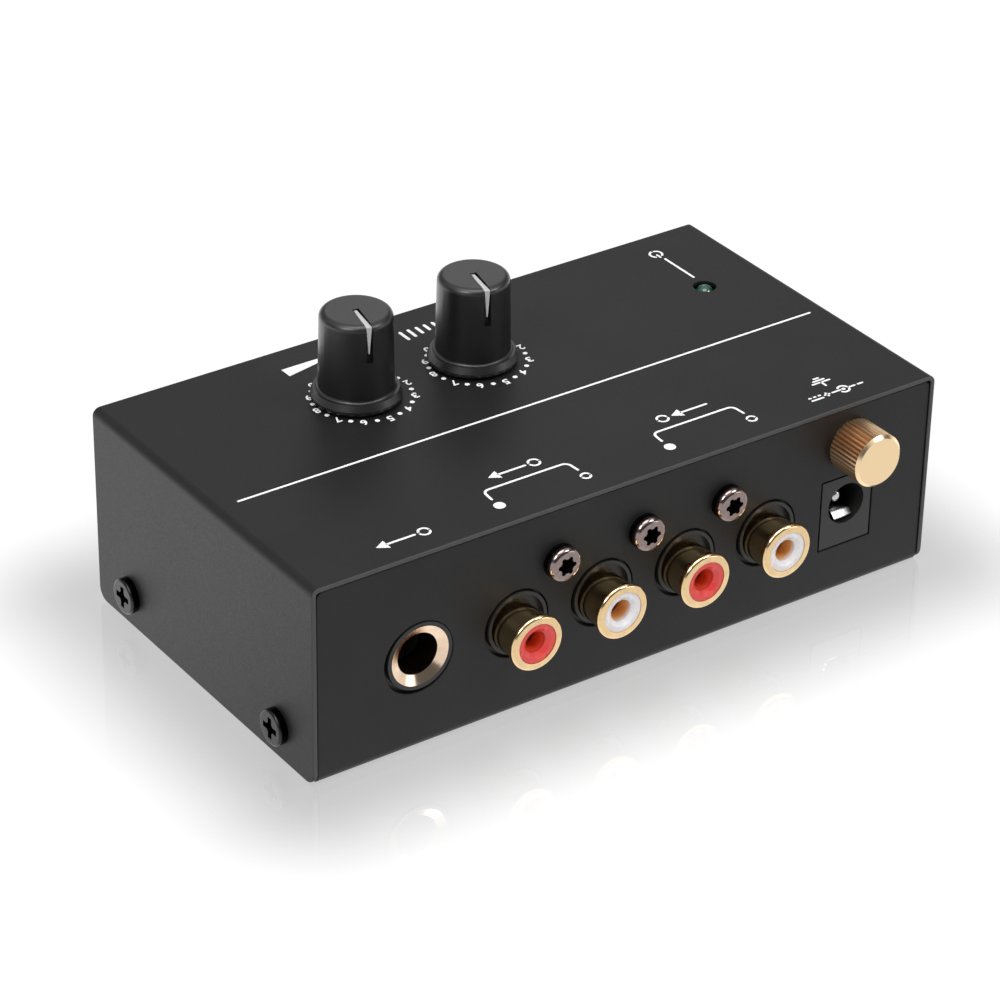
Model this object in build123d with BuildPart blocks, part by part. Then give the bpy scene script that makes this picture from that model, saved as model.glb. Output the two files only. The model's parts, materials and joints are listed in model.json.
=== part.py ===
"""Small phono preamplifier in a two-piece bent-sheet case.

Millimetres. +Z is up and the origin is the middle of the underside. X runs along the case. The user
sits on the -Y side and reads the dials from there; all sockets are in the rear panel, on the +Y side.
"""

import os
from math import radians, sqrt, tan

from build123d import *

os.makedirs("parts", exist_ok=True)

# ---- Case -----------------------------------------------------------------------------------
case_length = 105.0
case_depth = 57.0
case_height = 31.0
cover_sheet = 0.7
cover_bend = 1.2  # outside radius of the cover's two bends
cover_edge = 0.15  # rounding of the sheet's cut edges
cover_lift = 0.1  # the cover's ends stop this far above the table
flap_corner = 2.0
chassis_sheet = 1.0
chassis_bend = 1.5  # outside radius where the panels leave the base
panel_corner = 1.0
cover_gap = 0.15  # between cover and chassis
panel_recess = 0.2  # the panels stand this far inside the cover's edges
thread_fit = 0.02  # radial gap of a screw in its thread, which is drawn smooth
press_fit = 0.02  # radial gap of a piece pressed into another
running_fit = 0.05  # radial gap of a turning shaft
same_length = 0.01  # lengths that differ by less are taken as one when edges are chosen

chassis_length = case_length - 2 * (cover_sheet + cover_gap)
chassis_height = case_height - cover_sheet - cover_gap
panel_face = case_depth / 2 - panel_recess
panel_inside = panel_face - chassis_sheet

# ---- End screws and the tabs they bite into ---------------------------------------------------
end_screw_inset = 8.9  # from the cover's front and rear edges
end_screw_spread = case_depth - 2 * end_screw_inset
end_screw_height = 5.1
end_screw_radius = 1.5
end_screw_length = 4.0
end_screw_hole = 1.7
pan_head_radius = 2.65
pan_head_height = 1.3
pan_head_round = 0.35
cross_width = 0.9
cross_length = 3.3
cross_core = 0.85
cross_depth = 1.0
tab_width = 9.0
tab_height = 9.5
tab_corner = 2.0
tab_inner_bend = 0.5

# ---- Circuit board ----------------------------------------------------------------------------
standoff_height = 5.4
standoff_radius = 2.5
spigot_radius = 1.8
spigot_short = 0.15  # the spigots end this far above the underside
board_thickness = 1.6
board_end_gap = 3.45
board_front_gap = 2.3
board_rear_gap = 0.3
board_corner = 1.0
board_screw_radius = 1.25
board_screw_head = 2.2
board_screw_head_height = 1.4
board_screw_head_round = 0.7
board_screw_cross = 2.6
board_screw_cross_width = 0.5
board_screw_cross_depth = 0.7
board_screw_bite = 4.0
board_screw_inset = 2.4  # front pair, from the board's ends
board_screw_front_inset = 3.2
rear_screw_gap = 0.85  # rear pair, beside the phone jack
rear_screw_behind = 0.2  # rear pair, in front of the phono socket strip
lead_hole = 0.6
lead_tail = 1.2  # the leads end this far below the board

board_bottom = chassis_sheet + standoff_height
board_top = board_bottom + board_thickness
board_length = chassis_length - 2 * board_end_gap
board_front = -(panel_inside - board_front_gap)
board_rear = panel_inside - board_rear_gap

# ---- Controls on the top ----------------------------------------------------------------------
control_row = -11.05  # Y of both knobs
lamp_row = -10.9
volume_x = 20.0
knob_pitch = 19.75
level_x = volume_x - knob_pitch
lamp_inset = 11.2
lamp_x = -(case_length / 2 - lamp_inset)

shaft_radius = 3.0
shaft_flat = 0.6  # depth of the D flat
shaft_hole = 3.9
knob_lift = 0.4  # gap between knob and cover
knob_height = 13.45
knob_top_radius = 5.2
knob_foot_radius = 5.45
knob_edge = 0.95
pointer_turn = 12.0  # degrees clockwise from straight back, as the knobs stand at rest
skirt_radius = 6.53
skirt_rim = 6.1
skirt_height = 1.6
skirt_side = 0.35
skirt_undercut = 0.25
skirt_under_height = 0.35
skirt_blend = 0.35
knob_boss_wall = 0.8
knob_wall = 0.9
knob_core_height = 9.0
groove_width = 1.0
groove_depth = 0.7
groove_start = -0.3  # from the knob's axis, towards the pointer
groove_foot = 7.7  # height of the groove's lower end above the knob's foot
pointer_width = 0.8
pointer_start_width = 0.45
pointer_tip_width = 0.15
pointer_height = 0.45
pointer_foot = 9.1

pot_width = 10.0
pot_depth = 11.4
pot_height = 10.8
pot_corner = 0.8
bushing_radius = 3.5
bushing_height = 5.0
bushing_flange = 8.6
bushing_flange_height = 0.8
shaft_seat = 2.0  # how deep the shaft sits in the housing
shaft_in_knob = 9.5
terminal_size = 0.8
terminal_pitch = 2.5
terminal_height = 2.5
terminal_count = 3

lamp_radius = 1.5
lamp_hole = 1.75
lamp_rim = 1.9
lamp_rim_height = 1.0
lamp_body = 5.0
lamp_proud = 0.15
lamp_lead = 0.5
lamp_lead_pitch = 2.54
spacer_radius = 2.6
spacer_bore = 0.45

# ---- Rear sockets -----------------------------------------------------------------------------
rca_pitch = 14.25
rca_first_x = 20.0
rca_above_board = 6.05
rca_count = 4
rca_housing_gap = 0.4
rca_housing_height = 16.4
rca_housing_depth = 12.0
rca_hole = 5.25
rca_hole_side = 0.25  # the holes are cut this far towards -X of the sockets
rca_hole_above = 0.35  # and this far above them
collar_side = 0.35
collar_above = 0.45
collar_radius = 4.8
collar_stand = 0.15
collar_step_radius = 4.3
collar_step_depth = 0.8
shell_radius = 3.7
shell_reach = 5.35  # from the panel's face to the front of the flange
shell_depth = 9.0
flange_radius = 4.17
flange_length = 1.05
flange_edge = 0.45
flange_back_edge = 0.2
insulator_radius = 3.03
insulator_recess = 0.12
dish_radius = 2.28
dish_depth = 0.5
insulator_lip = 3.0
centre_bore = 1.65
contact_radius = 2.3
contact_tail_radius = 0.6
contact_tail = 4.0
star_screw_above = 8.05  # above the sockets' centre line
star_head_radius = 2.62
star_head_height = 1.9
star_head_round = 0.8
star_washer_height = 0.5
star_groove = 0.2  # between the captive washer and the head
star_neck = 2.35
star_lobes = 6
star_core = 1.12
star_lobe_radius = 0.36
star_lobe_circle = 1.12
star_depth = 1.6
star_shank_radius = 1.3
star_shank_length = 7.0
star_hole = 1.45

phone_x = 35.45
phone_above_board = 6.8
phone_hole = 5.55
phone_hole_side = 0.22  # the hole is cut this far towards +X of the jack
phone_hole_below = 0.18  # and this far below it
phone_nose_radius = 5.15
phone_nose_stand = 0.05
phone_width = 15.0
phone_height = 13.6
phone_depth = 30.0
phone_corner = 1.2
phone_bore = 3.2
phone_back_wall = 1.2
ferrule_radius = 4.55
ferrule_lip = 0.7
ferrule_cone = 0.7
ferrule_sleeve_radius = 4.0
ferrule_sleeve = 5.0
window_height = 3.4
window_front = 12.0  # distance of the spring windows from the panel's inside
window_length = 12.0
spring_thickness = 0.4
spring_width = 2.6
spring_bump_reach = 0.25  # the bump enters the bore by this much
spring_bump_from_mouth = 4.0  # from the window's front end
spring_root_run = 4.0
spring_mouth_rise = 2.2
spring_end_gap = 0.8
spring_bend = 0.9

power_x = -37.55
power_above_board = 6.5
power_width = 9.0
power_height = 11.0
power_gap = 0.3
power_front_length = 3.4
power_depth = 14.2
power_bore = 3.2
power_bore_depth = 9.6
power_pin_radius = 1.0
power_pin_round = 0.7
power_pin_recess = 2.0
power_spring_width = 3.2
power_spring_thickness = 0.3
power_spring_front = 0.6
power_spring_ramp = 1.0
power_spring_rise = 0.9
power_spring_length = 7.5
power_spring_bend = 1.0
power_tag_width = 2.2
power_tag_thickness = 0.5

ground_x = -37.4
ground_shank_radius = 2.0
ground_shank_length = 8.2
ground_panel_hole = 2.2
ground_washer_radius = 3.6
ground_washer_thickness = 0.4
ground_washer_gap = 0.05
thumb_radius = 4.05
thumb_length = 6.2
thumb_chamfer = 0.45
thumb_back_chamfer = 0.2
knurl_count = 38
knurl_depth = 0.38
knurl_angle = 80.0
ground_nut_sides = 6
ground_nut_flats = 7.0
ground_nut_height = 3.2
strap_thickness = 0.5
strap_eye_radius = 3.4
strap_width = 2.0
strap_gap = 1.15  # beside the DC socket

# ---- Electronics on the board -----------------------------------------------------------------
chip_length = 9.4
chip_width = 6.4
chip_height = 3.3
chip_stand = 0.5
chip_legs_per_side = 4
chip_leg_pitch = 2.54
chip_leg_width = 0.5
chip_leg_thickness = 0.3
chip_row_spread = 7.62
chip_xs = (-14.0, 4.0)
chip_inset = 21.8  # from the rear panel's inside
can_radius = 3.15
can_height = 11.0
can_groove = 0.35
can_groove_height = 1.6
can_edge = 0.4
can_columns, can_rows, can_pitch = 3, 2, 8.2
can_group = (-22.0, -9.5)
film_length, film_width, film_height = 7.2, 3.4, 6.6
film_edge = 0.4
film_count, film_pitch = 4, 4.6
film_x = -33.5
film_gap = 1.8  # in front of the diode
resistor_length, resistor_radius, resistor_waist = 6.2, 1.15, 0.85
resistor_cap = 1.3
resistor_wire, resistor_span = 0.3, 9.6
resistor_count, resistor_pitch = 5, 3.1
resistor_x = 18.0
resistor_inset = 22.3
diode_length, diode_radius = 5.0, 1.3
diode_wire, diode_span = 0.4, 9.6
diode_x = -34.0
diode_gap = 0.1  # in front of the DC socket
regulator_width, regulator_depth, regulator_height = 10.0, 4.4, 9.0
regulator_tab_height, regulator_tab_thickness = 15.0, 1.2
regulator_hole = 1.8
regulator_lift = 2.5
regulator_leg_width, regulator_leg_thickness = 0.8, 0.4
regulator_leg_pitch = 2.54
regulator_place = (37.0, -12.0)

# ---- Places worked out from the sizes ---------------------------------------------------------
rca_z = board_top + rca_above_board
rca_xs = [rca_first_x - i * rca_pitch for i in range(rca_count)]
rca_holes = [(x - rca_hole_side, rca_z + rca_hole_above) for x in rca_xs]
collar_places = [(x - collar_side, rca_z + collar_above) for x in rca_xs]
rca_middle = sum(rca_xs) / rca_count
star_z = rca_z + star_screw_above
star_xs = [x - rca_pitch / 2 for x in rca_xs[:-1]]
phone_z = board_top + phone_above_board
power_z = board_top + power_above_board
power_middle_z = board_top + power_height / 2
ground_height = (board_top + power_height + chassis_height) / 2  # midway from DC socket to cover
strap_drop_x = power_x - (power_width + strap_width) / 2 - strap_gap
knob_foot = case_height + knob_lift
knob_top = knob_foot + knob_height
pot_top = board_top + pot_height
bushing_top = pot_top + bushing_height
shaft_bottom = pot_top - shaft_seat
shaft_top = knob_foot + shaft_in_knob
end_screw_ys = (-end_screw_spread / 2, end_screw_spread / 2)
lead_end = board_bottom - lead_tail


def grid_points(centre, pitch_x, pitch_y, count_x, count_y):
    """Points of a regular grid about a centre, for leads and the board holes they pass."""
    return [
        (centre[0] + (i - (count_x - 1) / 2) * pitch_x, centre[1] + (j - (count_y - 1) / 2) * pitch_y)
        for i in range(count_x)
        for j in range(count_y)
    ]


front_screw_x = board_length / 2 - board_screw_inset
front_screw_y = board_front + board_screw_front_inset
rear_screw_x = phone_x - phone_width / 2 - board_screw_head - rear_screw_gap
rear_screw_y = panel_inside - rca_housing_depth - board_screw_head - rear_screw_behind
board_screw_points = [
    (side * x, y) for side in (-1, 1) for x, y in ((front_screw_x, front_screw_y), (rear_screw_x, rear_screw_y))
]
power_back = panel_face - power_depth
power_leg = (power_x, power_back - power_tag_thickness / 2)
chip_places = [(x, panel_inside - chip_inset) for x in chip_xs]
resistor_group = (resistor_x, panel_inside - resistor_inset)
diode_place = (diode_x, power_back - power_tag_thickness - diode_radius - diode_gap)
film_group = (film_x, diode_place[1] - diode_radius - film_gap - film_length / 2)
terminal_row = control_row + pot_depth / 2 + terminal_size
pot_legs = grid_points((volume_x, terminal_row), terminal_pitch, 0, terminal_count, 1)
pot_legs += grid_points((level_x, terminal_row), terminal_pitch, 0, terminal_count, 1)
lamp_legs = grid_points((lamp_x, lamp_row), lamp_lead_pitch, 0, 2, 1)
chip_legs = []
for place in chip_places:
    chip_legs += grid_points(place, chip_leg_pitch, chip_row_spread, chip_legs_per_side, 2)
resistor_legs = grid_points(resistor_group, resistor_pitch, resistor_span, resistor_count, 2)
diode_legs = grid_points(diode_place, diode_span, 0, 2, 1)
regulator_legs = grid_points(regulator_place, regulator_leg_pitch, 0, 3, 1)
window_start = panel_inside - window_front
window_end = window_start - window_length
phone_legs = [
    (phone_x + side * (phone_width + spring_thickness) / 2, window_end + terminal_size) for side in (-1, 1)
]


def close_to(value, target):
    """Tell whether two lengths are the same, for choosing edges."""
    return abs(value - target) < same_length


def write(builder, name):
    """Label a finished piece and write its STEP file."""
    builder.part.label = name
    export_step(builder.part, f"parts/{name}.step")


def rear_plane(y):
    """Plane facing the front at depth y: local x is X, local y is Z, and +amount goes inwards."""
    return Plane.XZ.offset(-y)


def socket_section(x, z):
    """Half-section plane of a round rear socket: local x is its radius, local y is Y."""
    return Plane(origin=(x, 0, z), x_dir=(1, 0, 0), z_dir=(0, 0, 1))


def socket_axis(x, z):
    """Axis of a round rear socket, pointing out of the panel."""
    return Axis((x, 0, z), (0, 1, 0))


def upright_section(x, y):
    """Half-section plane of an upright round piece: local x is its radius, local y is Z."""
    return Plane(origin=(x, y, 0), x_dir=(1, 0, 0), z_dir=(0, -1, 0))


# ---- Top cover: top and both ends, one bent sheet ----------------------------------------------
with BuildPart() as top_cover:
    with BuildSketch(Plane.XZ):
        with BuildLine():
            FilletPolyline(
                (-case_length / 2, cover_lift),
                (-case_length / 2, case_height),
                (case_length / 2, case_height),
                (case_length / 2, cover_lift),
                radius=cover_bend,
            )
            offset(amount=cover_sheet, side=Side.RIGHT)
        make_face()
    extrude(amount=case_depth / 2, both=True)
    fillet(top_cover.edges().filter_by(Axis.X).group_by(Axis.Z)[0], radius=flap_corner)
    cut_edges = top_cover.edges().filter_by(lambda edge: close_to(abs(edge.center().Y), case_depth / 2))
    fillet(cut_edges.filter_by(lambda edge: edge.length > cover_sheet + same_length), radius=cover_edge)
    with Locations((volume_x, control_row, case_height), (level_x, control_row, case_height)):
        Hole(radius=shaft_hole, depth=cover_sheet)
    with Locations((lamp_x, lamp_row, case_height)):
        Hole(radius=lamp_hole, depth=cover_sheet)
    with BuildSketch(Plane.YZ):
        with Locations(*[(y, end_screw_height) for y in end_screw_ys]):
            Circle(end_screw_hole)
    extrude(amount=case_length / 2, both=True, mode=Mode.SUBTRACT)
write(top_cover, "top_cover")

# ---- Chassis: base, front panel and rear panel, with four screw tabs ----------------------------
with BuildPart() as chassis:
    with BuildSketch(Plane.YZ):
        with BuildLine():
            FilletPolyline(
                (-panel_face, chassis_height),
                (-panel_face, 0),
                (panel_face, 0),
                (panel_face, chassis_height),
                radius=chassis_bend,
            )
            offset(amount=chassis_sheet, side=Side.LEFT)
        make_face()
    extrude(amount=chassis_length / 2, both=True)
    fillet(chassis.edges().filter_by(Axis.Y).group_by(Axis.Z)[-1], radius=panel_corner)
    with BuildSketch(Plane.XY.offset(chassis_sheet / 2)):
        with GridLocations(chassis_length - chassis_sheet, end_screw_spread, 2, 2):
            Rectangle(chassis_sheet, tab_width)
    extrude(amount=tab_height - chassis_sheet / 2)
    tab_tops = chassis.edges().filter_by(Axis.X).filter_by(lambda edge: close_to(edge.center().Z, tab_height))
    fillet(tab_tops, radius=tab_corner)
    tab_widths = chassis.edges().filter_by(Axis.Y).filter_by(lambda edge: close_to(edge.length, tab_width))
    tab_roots = tab_widths.filter_by(lambda edge: close_to(edge.center().Z, chassis_sheet))
    fillet(tab_roots, radius=tab_inner_bend)
    with BuildSketch(Plane.YZ):
        with Locations(*[(y, end_screw_height) for y in end_screw_ys]):
            Circle(end_screw_radius + thread_fit)
    extrude(amount=chassis_length / 2, both=True, mode=Mode.SUBTRACT)
    with BuildSketch(rear_plane(panel_face)):
        with Locations(*rca_holes):
            Circle(rca_hole)
        with Locations(*[(x, star_z) for x in star_xs]):
            Circle(star_hole)
        with Locations((phone_x + phone_hole_side, phone_z - phone_hole_below)):
            Circle(phone_hole)
        with Locations((power_x, power_middle_z)):
            Rectangle(power_width + 2 * power_gap, power_height + 2 * power_gap)
        with Locations((ground_x, ground_height)):
            Circle(ground_panel_hole)
    extrude(amount=chassis_sheet, mode=Mode.SUBTRACT)
    with BuildSketch(Plane.XY):
        with Locations(*board_screw_points):
            Circle(spigot_radius + press_fit)
    extrude(amount=chassis_sheet, mode=Mode.SUBTRACT)
write(chassis, "chassis")

# ---- Four pan-head screws that hold the cover ---------------------------------------------------
with BuildPart() as cover_screws:
    for side in (-1, 1):
        end_face = Plane.YZ.offset(side * case_length / 2)
        with BuildSketch(end_face):
            with Locations(*[(y, end_screw_height) for y in end_screw_ys]):
                Circle(pan_head_radius)
        extrude(amount=side * pan_head_height)
        with BuildSketch(end_face):
            with Locations(*[(y, end_screw_height) for y in end_screw_ys]):
                Circle(end_screw_radius)
        extrude(amount=-side * end_screw_length)
    head_edges = cover_screws.edges().filter_by(GeomType.CIRCLE)
    fillet(head_edges.filter_by(lambda edge: abs(edge.center().X) > (case_length + pan_head_height) / 2),
           radius=pan_head_round)
    for side in (-1, 1):
        with BuildSketch(Plane.YZ.offset(side * (case_length / 2 + pan_head_height))):
            with Locations(*[(y, end_screw_height) for y in end_screw_ys]):
                Rectangle(cross_length, cross_width)
                Rectangle(cross_width, cross_length)
                Circle(cross_core)
        extrude(amount=-side * cross_depth, mode=Mode.SUBTRACT)
write(cover_screws, "cover_screws")

# ---- Circuit board, its stand-offs and screws ---------------------------------------------------
with BuildPart() as circuit_board:
    with BuildSketch(Plane.XY.offset(board_bottom)):
        with Locations((0, (board_front + board_rear) / 2)):
            RectangleRounded(board_length, board_rear - board_front, board_corner)
        with Locations(*board_screw_points):
            Circle(board_screw_radius + thread_fit, mode=Mode.SUBTRACT)
        with Locations(*pot_legs, *lamp_legs, *chip_legs, *resistor_legs, *diode_legs, *regulator_legs,
                       *phone_legs, power_leg):
            Circle(lead_hole, mode=Mode.SUBTRACT)
    extrude(amount=board_thickness)
write(circuit_board, "circuit_board")

with BuildPart() as board_standoffs:
    with BuildSketch(Plane.XY.offset(chassis_sheet)):
        with Locations(*board_screw_points):
            Circle(standoff_radius)
    extrude(amount=standoff_height)
    with BuildSketch(Plane.XY.offset(spigot_short)):
        with Locations(*board_screw_points):
            Circle(spigot_radius)
    extrude(amount=chassis_sheet - spigot_short)
    with BuildSketch(Plane.XY.offset(board_bottom)):
        with Locations(*board_screw_points):
            Circle(board_screw_radius + thread_fit)
    extrude(amount=-board_screw_bite, mode=Mode.SUBTRACT)
write(board_standoffs, "board_standoffs")

with BuildPart() as board_screws:
    with BuildSketch(Plane.XY.offset(board_top)):
        with Locations(*board_screw_points):
            Circle(board_screw_head)
    extrude(amount=board_screw_head_height)
    fillet(board_screws.edges().group_by(Axis.Z)[-1], radius=board_screw_head_round)
    with BuildSketch(Plane.XY.offset(board_top)):
        with Locations(*board_screw_points):
            Circle(board_screw_radius)
    extrude(amount=-(board_thickness + board_screw_bite - press_fit))
    with BuildSketch(Plane.XY.offset(board_top + board_screw_head_height)):
        with Locations(*board_screw_points):
            Rectangle(board_screw_cross, board_screw_cross_width)
            Rectangle(board_screw_cross_width, board_screw_cross)
    extrude(amount=-board_screw_cross_depth, mode=Mode.SUBTRACT)
write(board_screws, "board_screws")


# ---- Knobs, pointers, shafts and potentiometers -------------------------------------------------
def shaft_profile(radius, flat):
    """Draw a D-shaped section in the current sketch, its flat on the side away from the pointer."""
    Circle(radius)
    with Locations((0, -radius)):
        Rectangle(2 * radius, 2 * flat, mode=Mode.SUBTRACT)


def knob_side(height):
    """Outside radius of the knob's tapered body at a height above its foot."""
    share = (height - skirt_height) / (knob_height - skirt_height)
    return knob_foot_radius + share * (knob_top_radius - knob_foot_radius)


groove_floor_top = knob_top - groove_depth
groove_floor_side = knob_side(groove_foot) - groove_depth
knob_taper = knob_foot_radius - knob_top_radius

for control, x in (("volume", volume_x), ("level", level_x)):
    upright = Axis((x, control_row, 0), (0, 0, 1))
    turned = Plane(origin=(x, control_row, 0)).rotated((0, 0, -pointer_turn))
    groove_wall = Plane(origin=turned.from_local_coords((0, groove_floor_side, 0)),
                        x_dir=turned.x_dir, z_dir=-turned.y_dir)

    with BuildPart() as knob:
        with BuildSketch(upright_section(x, control_row)):
            with BuildLine():
                Polyline(
                    (0, knob_foot),
                    (skirt_radius - skirt_undercut, knob_foot),
                    (skirt_radius, knob_foot + skirt_under_height),
                    (skirt_radius, knob_foot + skirt_under_height + skirt_side),
                    (skirt_rim, knob_foot + skirt_height),
                    (knob_foot_radius, knob_foot + skirt_height),
                    (knob_top_radius, knob_top),
                    (0, knob_top),
                    close=True,
                )
            make_face()
        revolve(axis=upright)
        rings = knob.edges().filter_by(GeomType.CIRCLE)
        fillet(rings.group_by(Axis.Z)[-1], radius=knob_edge)
        fillet(rings.filter_by(lambda ring: close_to(ring.radius, knob_foot_radius)), radius=skirt_blend)
        with BuildSketch(turned.offset(knob_foot)):
            Circle(knob_foot_radius - knob_wall)
            Circle(shaft_radius + knob_boss_wall, mode=Mode.SUBTRACT)
        extrude(amount=knob_core_height, mode=Mode.SUBTRACT)
        with BuildSketch(turned.offset(knob_foot)):
            shaft_profile(shaft_radius + press_fit, shaft_flat - press_fit)
        extrude(amount=shaft_in_knob + press_fit, mode=Mode.SUBTRACT)
        with BuildSketch(turned.offset(groove_floor_top)):
            with Locations((0, groove_start)):
                Rectangle(groove_width, knob_top_radius, align=(Align.CENTER, Align.MIN))
        extrude(amount=groove_depth, mode=Mode.SUBTRACT)
        with BuildSketch(groove_wall):
            with Locations((0, knob_foot + groove_foot)):
                Rectangle(groove_width, knob_height - groove_foot, align=(Align.CENTER, Align.MIN))
        extrude(amount=-(groove_depth + knob_taper), mode=Mode.SUBTRACT)
    write(knob, f"{control}_knob")

    with BuildPart() as pointer:
        with BuildSketch(turned.offset(groove_floor_top)):
            with BuildLine():
                Polyline(
                    (-pointer_start_width / 2, groove_start),
                    (pointer_start_width / 2, groove_start),
                    (pointer_width / 2, groove_floor_side),
                    (-pointer_width / 2, groove_floor_side),
                    close=True,
                )
            make_face()
        extrude(amount=pointer_height)
        with BuildSketch(groove_wall):
            with BuildLine():
                Polyline(
                    (-pointer_width / 2, groove_floor_top + pointer_height),
                    (pointer_width / 2, groove_floor_top + pointer_height),
                    (pointer_tip_width / 2, knob_foot + pointer_foot),
                    (-pointer_tip_width / 2, knob_foot + pointer_foot),
                    close=True,
                )
            make_face()
        extrude(amount=-pointer_height)
    write(pointer, f"{control}_pointer")

    with BuildPart() as shaft:
        with BuildSketch(turned.offset(shaft_bottom)):
            Circle(shaft_radius)
        extrude(amount=bushing_top - shaft_bottom)
        with BuildSketch(turned.offset(bushing_top)):
            shaft_profile(shaft_radius, shaft_flat)
        extrude(amount=shaft_top - bushing_top)
    write(shaft, f"{control}_shaft")

    with BuildPart() as pot_body:
        with BuildSketch(Plane(origin=(x, control_row, board_top))):
            RectangleRounded(pot_width, pot_depth, pot_corner)
        extrude(amount=pot_height)
        with BuildSketch(Plane(origin=(x, control_row, pot_top))):
            Circle(shaft_radius + running_fit)
        extrude(amount=-(shaft_seat + running_fit), mode=Mode.SUBTRACT)
    write(pot_body, f"{control}_pot_body")

    with BuildPart() as bushing:
        with BuildSketch(Plane(origin=(x, control_row, pot_top))):
            RectangleRounded(bushing_flange, bushing_flange, pot_corner)
        extrude(amount=bushing_flange_height)
        with BuildSketch(Plane(origin=(x, control_row, pot_top))):
            Circle(bushing_radius)
        extrude(amount=bushing_height)
        with BuildSketch(Plane(origin=(x, control_row, pot_top))):
            Circle(shaft_radius + running_fit)
        extrude(amount=bushing_height, mode=Mode.SUBTRACT)
    write(bushing, f"{control}_bushing")

with BuildPart() as pot_terminals:
    with BuildSketch(Plane.XY.offset(lead_end)):
        with Locations(*pot_legs):
            Rectangle(terminal_size, terminal_size)
    extrude(amount=board_top + terminal_height - lead_end)
    with BuildSketch(Plane.XY.offset(board_top + terminal_height)):
        with Locations(*pot_legs):
            Rectangle(terminal_size, terminal_size)
            with Locations((0, -terminal_size / 2)):
                Rectangle(terminal_size, terminal_size)
    extrude(amount=terminal_size)
write(pot_terminals, "pot_terminals")

# ---- Power lamp ---------------------------------------------------------------------------------
lamp_tip = case_height + lamp_proud
lamp_seat = lamp_tip - lamp_body

with BuildPart() as power_lamp:
    with BuildSketch(upright_section(lamp_x, lamp_row)):
        with BuildLine():
            Polyline(
                (0, lamp_tip),
                (0, lamp_seat),
                (lamp_rim, lamp_seat),
                (lamp_rim, lamp_seat + lamp_rim_height),
                (lamp_radius, lamp_seat + lamp_rim_height),
                (lamp_radius, lamp_tip - lamp_radius),
            )
            RadiusArc((lamp_radius, lamp_tip - lamp_radius), (0, lamp_tip), -lamp_radius)
        make_face()
    revolve(axis=Axis((lamp_x, lamp_row, 0), (0, 0, 1)))
write(power_lamp, "power_lamp")

with BuildPart() as lamp_spacer:
    with BuildSketch(Plane(origin=(lamp_x, lamp_row, board_top))):
        Circle(spacer_radius)
        with GridLocations(lamp_lead_pitch, 0, 2, 1):
            Circle(spacer_bore, mode=Mode.SUBTRACT)
    extrude(amount=lamp_seat - board_top)
write(lamp_spacer, "lamp_spacer")

with BuildPart() as lamp_leads:
    with BuildSketch(Plane.XY.offset(lead_end)):
        with Locations(*lamp_legs):
            Rectangle(lamp_lead, lamp_lead)
    extrude(amount=lamp_seat - lead_end)
write(lamp_leads, "lamp_leads")

# ---- Four-way phono socket strip ----------------------------------------------------------------
collar_face = panel_face + collar_stand
shell_front = panel_face + shell_reach
shell_back = panel_inside - shell_depth
flange_back = shell_front - flange_length

with BuildPart() as rca_housing:
    with BuildSketch(rear_plane(panel_inside)):
        with Locations((rca_middle, board_top)):
            Rectangle(rca_count * rca_pitch - rca_housing_gap, rca_housing_height,
                      align=(Align.CENTER, Align.MIN))
    extrude(amount=rca_housing_depth)
    chamfer(rca_housing.edges().filter_by(Axis.X).group_by(Axis.Z)[-1].sort_by(Axis.Y)[0], length=3.0)
    with BuildSketch(rear_plane(panel_inside)):
        with Locations(*collar_places):
            Circle(collar_radius)
    extrude(amount=-(collar_face - panel_inside))
    with BuildSketch(rear_plane(collar_face)):
        with Locations(*collar_places):
            Circle(collar_step_radius)
    extrude(amount=collar_step_depth, mode=Mode.SUBTRACT)
    with BuildSketch(rear_plane(collar_face)):
        with Locations(*[(x, rca_z) for x in rca_xs]):
            Circle(shell_radius + press_fit)
    extrude(amount=collar_face - shell_back, mode=Mode.SUBTRACT)
    with BuildSketch(rear_plane(shell_back)):
        with Locations(*[(x, rca_z) for x in rca_xs]):
            Circle(contact_tail_radius + press_fit)
    extrude(amount=rca_housing_depth, mode=Mode.SUBTRACT)
    with BuildSketch(rear_plane(panel_inside)):
        with Locations(*[(x, star_z) for x in star_xs]):
            Circle(star_shank_radius + thread_fit)
    extrude(amount=star_shank_length, mode=Mode.SUBTRACT)
write(rca_housing, "rca_housing")

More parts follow.
